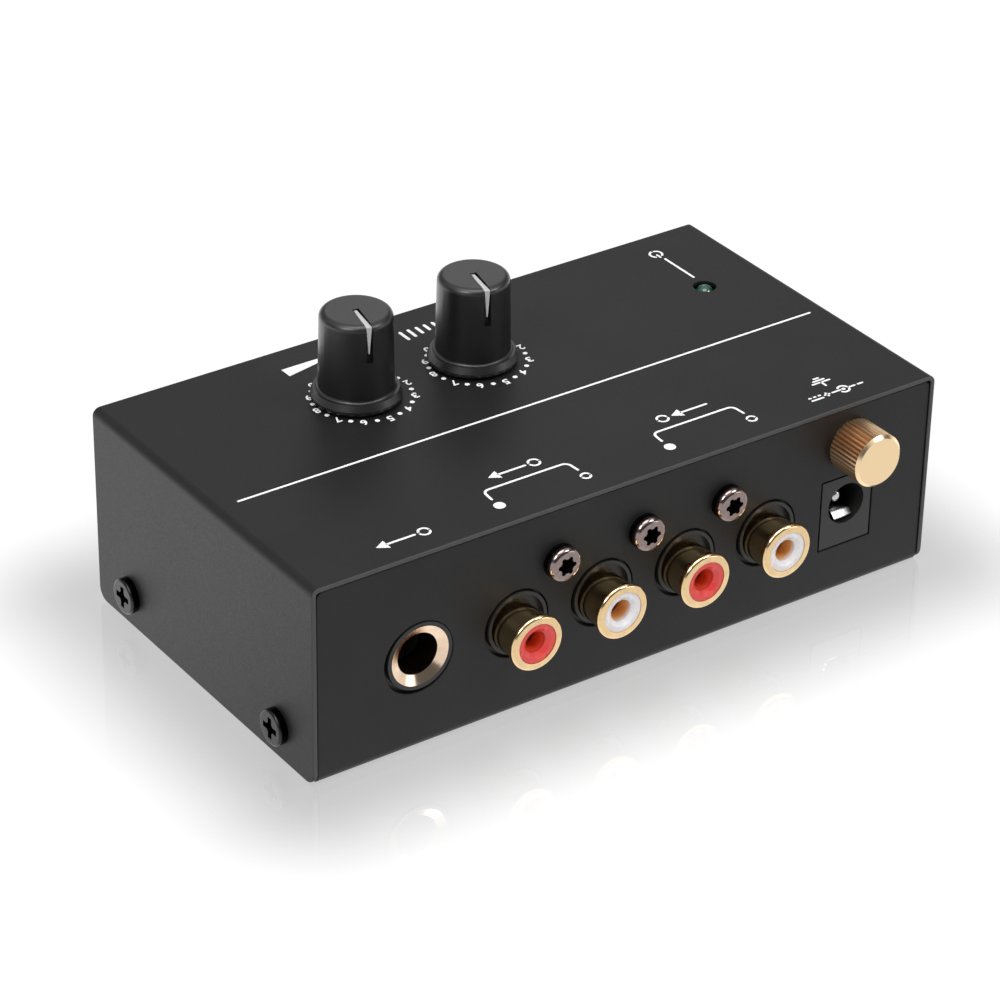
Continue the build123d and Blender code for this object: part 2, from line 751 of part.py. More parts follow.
rca_names = ("output_right", "output_left", "input_right", "input_left")
for name, x in zip(rca_names, rca_xs):
    axis = socket_axis(x, rca_z)
    section = socket_section(x, rca_z)

    with BuildPart() as shell:
        with BuildSketch(section):
            with BuildLine():
                Polyline(
                    (insulator_radius + press_fit, shell_back),
                    (shell_radius, shell_back),
                    (shell_radius, flange_back),
                    (flange_radius, flange_back),
                    (flange_radius, shell_front),
                    (insulator_radius + press_fit, shell_front),
                    close=True,
                )
            make_face()
        revolve(axis=axis)
        rims = shell.edges().filter_by(GeomType.CIRCLE)
        flange_rims = rims.filter_by(lambda rim: close_to(rim.radius, flange_radius))
        fillet(flange_rims.sort_by(Axis.Y)[-1], radius=flange_edge)
        fillet(flange_rims.sort_by(Axis.Y)[0], radius=flange_back_edge)
    write(shell, f"{name}_shell")

    dish_front = shell_front - insulator_recess
    with BuildPart() as insulator:
        with BuildSketch(section):
            with BuildLine():
                Polyline(
                    (insulator_radius, shell_back),
                    (insulator_radius, dish_front),
                    (dish_radius, dish_front),
                    (centre_bore, dish_front - dish_depth),
                    (centre_bore, dish_front - insulator_lip),
                    (contact_radius + press_fit, dish_front - insulator_lip),
                    (contact_radius + press_fit, shell_back + insulator_lip / 2),
                    (contact_tail_radius + press_fit, shell_back + insulator_lip / 2),
                    (contact_tail_radius + press_fit, shell_back),
                    close=True,
                )
            make_face()
        revolve(axis=axis)
    write(insulator, f"{name}_insulator")

    with BuildPart() as contact:
        contact_front = dish_front - insulator_lip - press_fit
        contact_back = shell_back + insulator_lip / 2
        with BuildSketch(section):
            with BuildLine():
                Polyline(
                    (centre_bore, contact_front),
                    (contact_radius, contact_front),
                    (contact_radius, contact_back + press_fit),
                    (contact_tail_radius, contact_back + press_fit),
                    (contact_tail_radius, shell_back - contact_tail),
                    (0, shell_back - contact_tail),
                    (0, contact_back + 2 * contact_tail_radius),
                    (centre_bore, contact_back + 2 * contact_tail_radius),
                    close=True,
                )
            make_face()
        revolve(axis=axis)
    write(contact, f"{name}_contact")

# ---- Star-recess screws between the phono sockets -----------------------------------------------
head_top = panel_face + star_head_height

with BuildPart() as star_screws:
    for x in star_xs:
        with BuildSketch(socket_section(x, star_z)):
            with BuildLine():
                Polyline(
                    (0, head_top),
                    (0, panel_inside - star_shank_length + press_fit),
                    (star_shank_radius, panel_inside - star_shank_length + press_fit),
                    (star_shank_radius, panel_face),
                    (star_head_radius, panel_face),
                    (star_head_radius, panel_face + star_washer_height),
                    (star_neck, panel_face + star_washer_height),
                    (star_neck, panel_face + star_washer_height + star_groove),
                    (star_head_radius, panel_face + star_washer_height + star_groove),
                    (star_head_radius, head_top),
                    close=True,
                )
            make_face()
        revolve(axis=socket_axis(x, star_z))
    head_rims = star_screws.edges().filter_by(GeomType.CIRCLE).group_by(Axis.Y)[-1]
    fillet(head_rims, radius=star_head_round)
    with BuildSketch(rear_plane(head_top)):
        with Locations(*[(x, star_z) for x in star_xs]):
            Circle(star_core)
            with PolarLocations(star_lobe_circle, star_lobes):
                Circle(star_lobe_radius)
    extrude(amount=star_depth, mode=Mode.SUBTRACT)
write(star_screws, "star_screws")

# ---- 6.35 mm phone jack -------------------------------------------------------------------------
nose_face = panel_face + phone_nose_stand
phone_back = panel_inside - phone_depth
ferrule_back = nose_face - ferrule_sleeve

with BuildPart() as phone_jack_body:
    with BuildSketch(rear_plane(panel_inside)):
        with Locations((phone_x, board_top)):
            Rectangle(phone_width, phone_height, align=(Align.CENTER, Align.MIN))
    extrude(amount=phone_depth)
    chamfer(phone_jack_body.edges().filter_by(Axis.Y).group_by(Axis.Z)[-1], length=phone_corner)
    with BuildSketch(rear_plane(panel_inside)):
        with Locations((phone_x, phone_z)):
            Circle(phone_nose_radius)
    extrude(amount=-(nose_face - panel_inside))
    with BuildSketch(rear_plane(nose_face)):
        with Locations((phone_x, phone_z)):
            Circle(phone_bore)
    extrude(amount=nose_face - phone_back - phone_back_wall, mode=Mode.SUBTRACT)
    with BuildSketch(rear_plane(nose_face)):
        with Locations((phone_x, phone_z)):
            Circle(ferrule_sleeve_radius + press_fit)
    extrude(amount=ferrule_sleeve + press_fit, mode=Mode.SUBTRACT)
    with BuildSketch(rear_plane(nose_face)):
        with Locations((phone_x, phone_z)):
            Circle(ferrule_radius + press_fit)
    extrude(amount=ferrule_lip + ferrule_cone, mode=Mode.SUBTRACT)
    with BuildSketch(rear_plane(window_start)):
        with Locations((phone_x, phone_z)):
            Rectangle(phone_width, window_height)
    extrude(amount=window_length, mode=Mode.SUBTRACT)
write(phone_jack_body, "phone_jack_body")

with BuildPart() as phone_jack_ferrule:
    with BuildSketch(socket_section(phone_x, phone_z)):
        with BuildLine():
            Polyline(
                (phone_bore, ferrule_back),
                (ferrule_sleeve_radius, ferrule_back),
                (ferrule_sleeve_radius, nose_face - ferrule_lip - ferrule_cone),
                (ferrule_radius, nose_face - ferrule_lip - ferrule_cone),
                (ferrule_radius, nose_face),
                (phone_bore, nose_face - ferrule_cone),
                close=True,
            )
        make_face()
    revolve(axis=socket_axis(phone_x, phone_z))
write(phone_jack_ferrule, "phone_jack_ferrule")

with BuildPart() as phone_jack_springs:
    for side, leg in zip((-1, 1), phone_legs):
        root_x = leg[0] - side * spring_thickness
        bump_x = phone_x + side * (phone_bore - spring_bump_reach)
        bump_y = window_start - spring_bump_from_mouth
        with BuildSketch(Plane.XY.offset(phone_z - spring_width / 2)):
            with BuildLine():
                FilletPolyline(
                    (root_x, window_end + spring_end_gap),
                    (root_x, window_end + spring_root_run),
                    (bump_x, bump_y),
                    (bump_x + side * spring_mouth_rise, window_start - spring_end_gap),
                    radius=spring_bend,
                )
                offset(amount=spring_thickness / 2, side=Side.BOTH)
            make_face()
        extrude(amount=spring_width)
        with BuildSketch(Plane.XY.offset(lead_end)):
            with Locations(leg):
                Rectangle(spring_thickness, terminal_size)
        extrude(amount=phone_z - lead_end)
write(phone_jack_springs, "phone_jack_springs")

# ---- DC power socket ----------------------------------------------------------------------------
power_bore_end = panel_face - power_bore_depth

with BuildPart() as power_socket_body:
    with BuildSketch(rear_plane(panel_face)):
        with Locations((power_x, board_top)):
            Rectangle(power_width, power_height, align=(Align.CENTER, Align.MIN))
    extrude(amount=power_front_length)
    with BuildSketch(rear_plane(panel_face)):
        with Locations((power_x, board_top)):
            Rectangle(power_width, power_above_board, align=(Align.CENTER, Align.MIN))
        with Locations((power_x, power_z)):
            Circle(power_width / 2)
    extrude(amount=power_depth)
    with BuildSketch(rear_plane(panel_face)):
        with Locations((power_x, power_z)):
            Circle(power_bore)
    extrude(amount=power_bore_depth, mode=Mode.SUBTRACT)
    with BuildSketch(rear_plane(power_bore_end)):
        with Locations((power_x, power_z)):
            Circle(power_pin_radius + press_fit)
    extrude(amount=power_depth, mode=Mode.SUBTRACT)
write(power_socket_body, "power_socket_body")

with BuildPart() as power_socket_pin:
    with BuildSketch(rear_plane(panel_face - power_pin_recess)):
        with Locations((power_x, power_z)):
            Circle(power_pin_radius)
    extrude(amount=power_depth - power_pin_recess + power_tag_thickness)
    fillet(power_socket_pin.edges().group_by(Axis.Y)[-1], radius=power_pin_round)
    with BuildSketch(rear_plane(power_back)):
        with Locations((power_x, board_top)):
            Rectangle(power_tag_width, power_above_board + power_pin_radius, align=(Align.CENTER, Align.MIN))
        with Locations((power_x, lead_end)):
            Rectangle(terminal_size, board_top - lead_end, align=(Align.CENTER, Align.MIN))
    extrude(amount=power_tag_thickness)
write(power_socket_pin, "power_socket_pin")

with BuildPart() as power_socket_spring:
    spring_low = power_z - sqrt(power_bore**2 - (power_spring_width / 2) ** 2) + power_spring_thickness
    with BuildSketch(Plane.YZ.offset(power_x - power_spring_width / 2)):
        with BuildLine():
            front = panel_face - power_spring_front
            FilletPolyline(
                (front, spring_low),
                (front - power_spring_ramp, spring_low + power_spring_rise),
                (front - power_spring_length, spring_low),
                radius=power_spring_bend,
            )
            offset(amount=power_spring_thickness / 2, side=Side.BOTH)
        make_face()
    extrude(amount=power_spring_width)
write(power_socket_spring, "power_socket_spring")

# ---- Ground terminal ----------------------------------------------------------------------------
washer_back = panel_face + ground_washer_gap
thumb_back = washer_back + ground_washer_thickness
thumb_front = thumb_back + thumb_length
ground_axis = socket_axis(ground_x, ground_height)
ground_section = socket_section(ground_x, ground_height)

with BuildPart() as ground_washer:
    with BuildSketch(rear_plane(thumb_back)):
        with Locations((ground_x, ground_height)):
            Circle(ground_washer_radius)
            Circle(ground_shank_radius + running_fit, mode=Mode.SUBTRACT)
    extrude(amount=ground_washer_thickness)
write(ground_washer, "ground_washer")

with BuildPart() as ground_thumb_screw:
    with BuildSketch(ground_section):
        with BuildLine():
            Polyline(
                (0, thumb_front),
                (0, thumb_back - ground_shank_length),
                (ground_shank_radius - thumb_chamfer, thumb_back - ground_shank_length),
                (ground_shank_radius, thumb_back - ground_shank_length + thumb_chamfer),
                (ground_shank_radius, thumb_back),
                (thumb_radius - thumb_back_chamfer, thumb_back),
                (thumb_radius, thumb_back + thumb_back_chamfer),
                (thumb_radius, thumb_front - thumb_chamfer),
                (thumb_radius - thumb_chamfer, thumb_front),
                close=True,
            )
        make_face()
    revolve(axis=ground_axis)
    groove_half = knurl_depth * tan(radians(knurl_angle / 2))
    with BuildSketch(rear_plane(thumb_front - thumb_chamfer)):
        with Locations((ground_x, ground_height)):
            with PolarLocations(thumb_radius, knurl_count):
                Polygon((-knurl_depth, 0), (0, groove_half), (knurl_depth, groove_half),
                        (knurl_depth, -groove_half), (0, -groove_half), align=None)
    extrude(amount=thumb_length - thumb_chamfer, mode=Mode.SUBTRACT)
write(ground_thumb_screw, "ground_thumb_screw")

with BuildPart() as ground_strap:
    with BuildSketch(rear_plane(panel_inside)):
        with Locations((ground_x, ground_height)):
            Circle(strap_eye_radius)
        with BuildLine():
            Polyline(
                (ground_x, ground_height + strap_width / 2),
                (strap_drop_x - strap_width / 2, ground_height + strap_width / 2),
                (strap_drop_x - strap_width / 2, board_top),
                (strap_drop_x + strap_width / 2, board_top),
                (strap_drop_x + strap_width / 2, ground_height - strap_width / 2),
                (ground_x, ground_height - strap_width / 2),
                close=True,
            )
        make_face()
        with Locations((ground_x, ground_height)):
            Circle(ground_shank_radius + running_fit, mode=Mode.SUBTRACT)
    extrude(amount=strap_thickness)
write(ground_strap, "ground_strap")

with BuildPart() as ground_nut:
    with BuildSketch(rear_plane(panel_inside - strap_thickness)):
        with Locations((ground_x, ground_height)):
            RegularPolygon(ground_nut_flats / 2, side_count=ground_nut_sides, major_radius=False)
            Circle(ground_shank_radius + running_fit, mode=Mode.SUBTRACT)
    extrude(amount=ground_nut_height)
write(ground_nut, "ground_nut")

# ---- Electronics --------------------------------------------------------------------------------
with BuildPart() as op_amps:
    for place in chip_places:
        with BuildSketch(Plane.XY.offset(board_top + chip_stand)):
            with Locations(place):
                Rectangle(chip_length, chip_width)
        extrude(amount=chip_height)
        with BuildSketch(Plane.XY.offset(board_top + chip_stand + chip_height / 2)):
            with Locations(place):
                with GridLocations(chip_leg_pitch, 0, chip_legs_per_side, 1):
                    Rectangle(chip_leg_width, chip_row_spread + chip_leg_thickness)
        extrude(amount=chip_leg_thickness)
    with BuildSketch(Plane.XY.offset(lead_end)):
        with Locations(*chip_legs):
            Rectangle(chip_leg_width, chip_leg_thickness)
    extrude(amount=board_top + chip_stand + chip_height / 2 - lead_end)
write(op_amps, "op_amps")

with BuildPart() as electrolytic_capacitors:
    with BuildSketch(Plane.XY.offset(board_top)):
        with Locations(can_group):
            with GridLocations(can_pitch, can_pitch, can_columns, can_rows):
                Circle(can_radius)
    extrude(amount=can_height)
    fillet(electrolytic_capacitors.edges().group_by(Axis.Z)[-1], radius=can_edge)
    with BuildSketch(Plane.XY.offset(board_top + can_groove_height)):
        with Locations(can_group):
            with GridLocations(can_pitch, can_pitch, can_columns, can_rows):
                Circle(can_radius + can_groove)
                Circle(can_radius - can_groove, mode=Mode.SUBTRACT)
    extrude(amount=can_groove, mode=Mode.SUBTRACT)
write(electrolytic_capacitors, "electrolytic_capacitors")

with BuildPart() as film_capacitors:
    with BuildSketch(Plane.XY.offset(board_top)):
        with Locations(film_group):
            with GridLocations(film_pitch, 0, film_count, 1):
                Rectangle(film_width, film_length)
    extrude(amount=film_height)
    fillet(film_capacitors.edges().group_by(Axis.Z)[-1], radius=film_edge)
write(film_capacitors, "film_capacitors")

with BuildPart() as resistors:
    resistor_axis = board_top + resistor_radius
    for x, _ in grid_points(resistor_group, resistor_pitch, 0, resistor_count, 1):
        middle = Plane(origin=(x, resistor_group[1], resistor_axis))
        with BuildSketch(middle):
            half = resistor_length / 2
            with BuildLine():
                Polyline(
                    (0, -half),
                    (resistor_radius, -half),
                    (resistor_radius, -half + resistor_cap),
                    (resistor_waist, -half + resistor_cap),
                    (resistor_waist, half - resistor_cap),
                    (resistor_radius, half - resistor_cap),
                    (resistor_radius, half),
                    (0, half),
                    close=True,
                )
            make_face()
        revolve(axis=Axis(middle.origin, (0, 1, 0)))
        with BuildSketch(rear_plane(resistor_group[1])):
            with Locations((x, resistor_axis)):
                Circle(resistor_wire)
        extrude(amount=resistor_span / 2, both=True)
    with BuildSketch(Plane.XY.offset(lead_end)):
        with Locations(*resistor_legs):
            Circle(resistor_wire)
    extrude(amount=resistor_axis - lead_end)
write(resistors, "resistors")

with BuildPart() as diode:
    diode_axis = board_top + diode_radius
    with BuildSketch(Plane.YZ.offset(diode_place[0])):
        with Locations((diode_place[1], diode_axis)):
            Circle(diode_radius)
    extrude(amount=diode_length / 2, both=True)
    with BuildSketch(Plane.YZ.offset(diode_place[0])):
        with Locations((diode_place[1], diode_axis)):
            Circle(diode_wire)
    extrude(amount=diode_span / 2, both=True)
    with BuildSketch(Plane.XY.offset(lead_end)):
        with Locations(*diode_legs):
            Circle(diode_wire)
    extrude(amount=diode_axis - lead_end)
write(diode, "diode")

with BuildPart() as voltage_regulator:
    regulator_foot = board_top + regulator_lift
    with BuildSketch(Plane.XY.offset(regulator_foot)):
        with Locations(regulator_place):
            Rectangle(regulator_width, regulator_depth)
    extrude(amount=regulator_height)
    with BuildSketch(rear_plane(regulator_place[1] - regulator_depth / 2)):
        with Locations((regulator_place[0], regulator_foot)):
            Rectangle(regulator_width, regulator_tab_height, align=(Align.CENTER, Align.MIN))
        with Locations((regulator_place[0], regulator_foot + (regulator_height + regulator_tab_height) / 2)):
            Circle(regulator_hole, mode=Mode.SUBTRACT)
    extrude(amount=regulator_tab_thickness)
    with BuildSketch(Plane.XY.offset(lead_end)):
        with Locations(*regulator_legs):
            Rectangle(regulator_leg_width, regulator_leg_thickness)
    extrude(amount=regulator_foot - lead_end)
write(voltage_regulator, "voltage_regulator")
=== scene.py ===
"""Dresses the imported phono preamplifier: its finishes, its screen print, a studio and a camera.

Lengths are millimetres in the row frame, +Z up and the sockets towards +Y, unless a name or a
comment says otherwise.
"""

import json
import logging
import math
from collections.abc import Sequence
from dataclasses import dataclass, field
from enum import Enum

import bmesh
import bpy
from mathutils import Matrix, Vector

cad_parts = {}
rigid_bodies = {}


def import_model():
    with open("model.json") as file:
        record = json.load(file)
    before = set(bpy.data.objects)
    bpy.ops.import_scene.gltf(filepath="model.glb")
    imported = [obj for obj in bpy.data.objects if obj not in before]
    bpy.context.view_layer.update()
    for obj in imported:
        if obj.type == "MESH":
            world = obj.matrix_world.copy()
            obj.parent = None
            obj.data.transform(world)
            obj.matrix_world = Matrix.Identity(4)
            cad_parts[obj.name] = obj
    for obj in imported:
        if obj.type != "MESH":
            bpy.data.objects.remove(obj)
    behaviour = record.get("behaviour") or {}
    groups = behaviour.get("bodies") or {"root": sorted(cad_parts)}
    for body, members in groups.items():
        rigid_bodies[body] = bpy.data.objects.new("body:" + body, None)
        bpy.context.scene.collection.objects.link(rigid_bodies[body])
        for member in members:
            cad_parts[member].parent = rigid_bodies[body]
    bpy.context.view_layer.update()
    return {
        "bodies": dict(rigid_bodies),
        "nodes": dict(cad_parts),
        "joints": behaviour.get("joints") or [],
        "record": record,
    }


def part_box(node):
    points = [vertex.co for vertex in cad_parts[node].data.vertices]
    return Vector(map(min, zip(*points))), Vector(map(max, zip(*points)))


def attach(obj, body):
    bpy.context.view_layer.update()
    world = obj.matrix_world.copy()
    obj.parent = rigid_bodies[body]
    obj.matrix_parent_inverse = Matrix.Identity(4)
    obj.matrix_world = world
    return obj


MM = 0.001  # metres in a millimetre
Colour = tuple[float, float, float]
Point = tuple[float, float]
Span = tuple[float, float]
Socket = bpy.types.NodeSocket
Inputs = dict[str | int, object]

WHITE: Colour = (1.0, 1.0, 1.0)

log = logging.getLogger("preamplifier")


class Axis(Enum):
    """The way that a turned or headed piece lies, as the index of its coordinate."""

    SIDEWAYS = 0
    OUTWARD = 1
    UPRIGHT = 2


def scaled(colour: Colour, factor: float) -> Colour:
    """Make a colour brighter or darker by a factor, up to full white."""
    return tuple(min(1.0, channel * factor) for channel in colour)


# ---- Shader nodes ---------------------------------------------------------------------------
class ShaderGraph:
    """The node tree of one material, with short calls for the nodes that the finishes share."""

    def __init__(self, name: str) -> None:
        """Start an empty tree that ends in a Material Output.

        Args:
            name: The material's name.
        """
        self.material = bpy.data.materials.new(name)
        self.material.use_nodes = True
        self.tree = self.material.node_tree
        self.tree.nodes.clear()
        self.output = self.tree.nodes.new("ShaderNodeOutputMaterial")

    def node(self, kind: str, inputs: Inputs, **settings: object) -> bpy.types.Node:
        """Add a node.

        Args:
            kind: Blender's class name of the node, without the leading "ShaderNode".
            inputs: Value or socket for each named or numbered input.
            settings: Options of the node itself, such as operation.

        Returns:
            The new node.
        """
        made = self.tree.nodes.new(f"ShaderNode{kind}")
        for option, value in settings.items():
            setattr(made, option, value)
        for key, value in inputs.items():
            if isinstance(value, Socket):
                self.tree.links.new(value, made.inputs[key])
            elif isinstance(value, tuple) and made.inputs[key].type == "RGBA":
                made.inputs[key].default_value = (*value, 1.0)
            else:
                made.inputs[key].default_value = value
        return made

    def place(self, origin: Vector | None = None) -> Socket:
        """Give each point's place on the object in millimetres.

        Args:
            origin: The point to count from, or None for the row frame's origin.

        Returns:
            The place.
        """
        place = self.node("TexCoord", {}).outputs["Object"]
        if origin is not None:
            terms = {0: place, 1: tuple(origin * MM)}
            place = self.node("VectorMath", terms, operation="SUBTRACT").outputs[0]
        return self.node("VectorMath", {0: place, "Scale": 1 / MM}, operation="SCALE").outputs[0]

    def parts(self, place: Socket) -> bpy.types.bpy_prop_collection:
        """Split a place into its coordinates X, Y and Z."""
        return self.node("SeparateXYZ", {0: place}).outputs

    def length(self, place: Socket) -> Socket:
        """Give a place's distance from the origin."""
        return self.node("VectorMath", {0: place}, operation="LENGTH").outputs["Value"]

    def radius(self, place: Socket, axis: Axis) -> Socket:
        """Give a place's distance from an axis through the origin."""
        across = [part for index, part in enumerate(self.parts(place)) if index != axis.value]
        return self.length(self.node("CombineXYZ", dict(enumerate(across))).outputs[0])

    def math(self, operation: str, *values: Socket | float) -> Socket:
        """Give the result of a Math node."""
        return self.node("Math", dict(enumerate(values)), operation=operation).outputs[0]

    def noise(self, place: Socket, size: float, detail: float = 2.0) -> Socket:
        """Give noise, about 0.5 on average, whose blotches are as large as size."""
        inputs = {"Vector": place, "Scale": 1 / size, "Detail": detail}
        return self.node("TexNoise", inputs).outputs["Fac"]

    def between(self, value: Socket, low: float, high: float,
                start: float = 0.3, end: float = 0.7) -> Socket:
        """Spread a value over another range.

        Args:
            value: The value to spread.
            low: Result at start.
            high: Result at end.
            start: Value that gives low.
            end: Value that gives high.

        Returns:
            The spread value.
        """
        ends = {"From Min": start, "From Max": end, "To Min": low, "To Max": high}
        return self.node("MapRange", {"Value": value, **ends}).outputs["Result"]

    def worn(self, noise: Socket, roughness: float, spread: Span) -> Socket:
        """Vary a roughness with a noise; the spread is what is added where it is low and high."""
        return self.between(noise, roughness + spread[0], roughness + spread[1])

    def smooth(self, value: Socket, start: float, end: float) -> Socket:
        """Give 0 up to start and 1 from end on, with a soft passage between them."""
        inputs = {"Value": value, "From Min": start, "From Max": end}
        return self.node("MapRange", inputs, interpolation_type="SMOOTHSTEP").outputs["Result"]

    def passing(self, share: Socket, first: Socket | float, second: Socket | float) -> Socket:
        """Pass from one value to another; a share of 0 gives the first."""
        change = self.math("SUBTRACT", second, first)
        return self.math("MULTIPLY_ADD", share, change, first)

    def mix(self, share: Socket, first: Socket | Colour, second: Socket | Colour) -> Socket:
        """Mix two colours; a share of 0 gives the first."""
        return self.node("Mix", {0: share, 6: first, 7: second}, data_type="RGBA").outputs[2]

    def cloudy(self, noise: Socket, colour: Colour, tone: float) -> Socket:
        """Vary a colour with a noise, from itself to itself times a tone."""
        return self.mix(self.between(noise, 0.0, 1.0), colour, scaled(colour, tone))

    def bump(self, height: Socket, depth: float, under: Socket | None = None) -> Socket:
        """Give the normal of a surface that is raised by a height.

        Args:
            height: The height, from 0 to 1.
            depth: Millimetres from height 0 to height 1.
            under: Normal of the surface below, or None for the mesh's own.

        Returns:
            The normal.
        """
        inputs: Inputs = {"Height": height, "Distance": depth * MM, "Strength": 1.0}
        if under is not None:
            inputs["Normal"] = under
        return self.node("Bump", inputs).outputs["Normal"]

    def finish(self, shader: bpy.types.Node) -> bpy.types.Material:
        """Put a shader on the output and give the material."""
        self.tree.links.new(shader.outputs[0], self.output.inputs["Surface"])
        return self.material

    def principled(self, inputs: Inputs) -> bpy.types.Material:
        """Finish the material with a Principled BSDF."""
        return self.finish(self.node("BsdfPrincipled", inputs))


class RoomGraph(ShaderGraph):
    """The node tree of the room around the object."""

    def __init__(self, name: str) -> None:
        """Start an empty tree that ends in a World Output, and put the room round the scene.

        Args:
            name: The world's name.
        """
        world = bpy.data.worlds.new(name)
        bpy.context.scene.world = world
        world.use_nodes = True
        self.tree = world.node_tree
        self.tree.nodes.clear()
        self.output = self.tree.nodes.new("ShaderNodeOutputWorld")

    def finish_room(self, background: bpy.types.Node) -> None:
        """Put a background on the output."""
        self.tree.links.new(background.outputs[0], self.output.inputs["Surface"])


# ---- Finishes -------------------------------------------------------------------------------
# The field with a noise's own name is the size of its blotches, its tone the factor on the colour
# where the noise is high, its depth the height of its bumps. A roughness spread is what the noise
# adds to the roughness at its low and its high end.
@dataclass(frozen=True)
class PowderCoat:
    """Black satin powder paint on sheet steel, with orange peel, edges rounded by build-up and a
    painted highlight along the cut edges.
    """

    colour: Colour
    roughness: float
    roughness_spread: Span = (-0.04, 0.05)
    specular: float = 0.28
    cloud: float = 14.0
    cloud_tone: float = 1.35
    grain: float = 0.22
    grain_depth: float = 0.006
    peel: float = 1.6
    peel_depth: float = 0.010
    build_up: float = 0.3
    build_up_samples: int = 6
    cut_edge_highlight: Colour = (0.055, 0.055, 0.057)
    highlight_band: Span = (0.14, 0.04)  # start and end of the painted highlight band, in from the cut

    def material(self, name: str, cut_at: float) -> bpy.types.Material:
        """Build the paint, with a painted highlight along the sheets' cut edges.

        Args:
            name: The material's name.
            cut_at: How far from the middle the cut edges lie along Y.

        Returns:
            The material.
        """
        graph = ShaderGraph(name)
        place = graph.place()
        grain = graph.noise(place, self.grain, detail=1.0)
        rounding = {"Radius": self.build_up * MM}
        rounded = graph.node("Bevel", rounding, samples=self.build_up_samples).outputs["Normal"]
        peeled = graph.bump(graph.noise(place, self.peel), self.peel_depth, rounded)
        cloud = graph.noise(place, self.cloud, detail=3.0)
        aside = graph.math("ABSOLUTE", graph.parts(place)["Y"])
        # painted highlight: a paler colour in a band along the cut edges, standing in for light
        # caught by the rounded edge
        edge_highlight_share = graph.smooth(aside, *(cut_at - inset for inset in self.highlight_band))
        face = graph.cloudy(cloud, self.colour, self.cloud_tone)
        return graph.principled({
            "Base Color": graph.mix(edge_highlight_share, face, self.cut_edge_highlight),
            "Roughness": graph.worn(grain, self.roughness, self.roughness_spread),
            "Specular IOR Level": self.specular,
            "Normal": graph.bump(grain, self.grain_depth, peeled),
        })


@dataclass(frozen=True)
class MouldedPlastic:
    """Moulded plastic with the fine spark-eroded skin of its tool."""

    colour: Colour
    roughness: float
    roughness_spread: Span = (-0.05, 0.05)
    specular: float = 0.4
    flow: float = 5.6
    flow_tone: float = 1.2
    skin: float = 0.14
    skin_depth: float = 0.004

    def material(self, name: str) -> bpy.types.Material:
        """Build the plastic.

        Args:
            name: The material's name.

        Returns:
            The material.
        """
        graph = ShaderGraph(name)
        place = graph.place()
        skin = graph.noise(place, self.skin, detail=1.0)
        return graph.principled({
            "Base Color": graph.cloudy(graph.noise(place, self.flow), self.colour, self.flow_tone),
            "Roughness": graph.worn(skin, self.roughness, self.roughness_spread),
            "Specular IOR Level": self.specular,
            "Normal": graph.bump(skin, self.skin_depth),
        })


@dataclass(frozen=True)
class SocketPlastic:
    """Glossy insulator plastic with painted light down the bore: a painted reflection of the gold
    contact, brighter than the face to lift the bore's shade.
    """

    face: Colour
    bore_painted_light: Colour
    bore_light_passage: Span = (0.6, 1.5)  # depths where the face's colour ends and the bore's painted light starts
    roughness: float = 0.22
    roughness_spread: Span = (0.0, 0.08)
    specular: float = 0.5
    subsurface: float = 0.15
    subsurface_reach: float = 0.4
    flow: float = 1.5
    flow_tone: float = 1.15
    skin: float = 0.2
    skin_depth: float = 0.002

    def material(self, name: str, front: Vector) -> bpy.types.Material:
        """Build the plastic.

        Args:
            name: The material's name.
            front: The point where the socket's axis leaves the insulator.

        Returns:
            The material.
        """
        graph = ShaderGraph(name)
        place = graph.place(front)
        depth = graph.math("MULTIPLY", graph.parts(place)["Y"], -1.0)
        flow = graph.noise(place, self.flow)
        face = graph.cloudy(flow, self.face, self.flow_tone)
        skin = graph.noise(place, self.skin, detail=1.0)
        return graph.principled({
            # painted light: down the bore the colour passes to a brighter, warmer one, a painted
            # reflection of the gold contact against the bore's shade
            "Base Color": graph.mix(graph.smooth(depth, *self.bore_light_passage), face, self.bore_painted_light),
            "Roughness": graph.worn(flow, self.roughness, self.roughness_spread),
            "Specular IOR Level": self.specular,
            "Subsurface Weight": self.subsurface,
            "Subsurface Scale": self.subsurface_reach * MM,
            "Normal": graph.bump(skin, self.skin_depth),
        })


@dataclass(frozen=True)
class TurnedMetal:
    """Plated or bare metal off a lathe, with faint rings about its axis."""

    colour: Colour
    roughness: float
    roughness_spread: Span = (-0.02, 0.05)
    axis: Axis = Axis.OUTWARD
    ring: float = 0.12
    ring_depth: float = 0.0006
    patina: float = 1.2
    patina_tone: float = 0.88

    def material(self, name: str, middle: Vector) -> bpy.types.Material:
        """Build the metal.

        Args:
            name: The material's name.
            middle: A point on the piece's own axis.

        Returns:
            The material.
        """
        graph = ShaderGraph(name)
        place = graph.place(middle)
        along = graph.parts(place)[self.axis.value]
        lathe = graph.node("CombineXYZ", {0: graph.radius(place, self.axis), 1: along}).outputs[0]
        patina = graph.noise(place, self.patina, detail=3.0)
        return graph.principled({
            "Base Color": graph.cloudy(patina, self.colour, self.patina_tone),
            "Metallic": 1.0,
            "Roughness": graph.worn(patina, self.roughness, self.roughness_spread),
            "Normal": graph.bump(graph.noise(lathe, self.ring), self.ring_depth),
        })


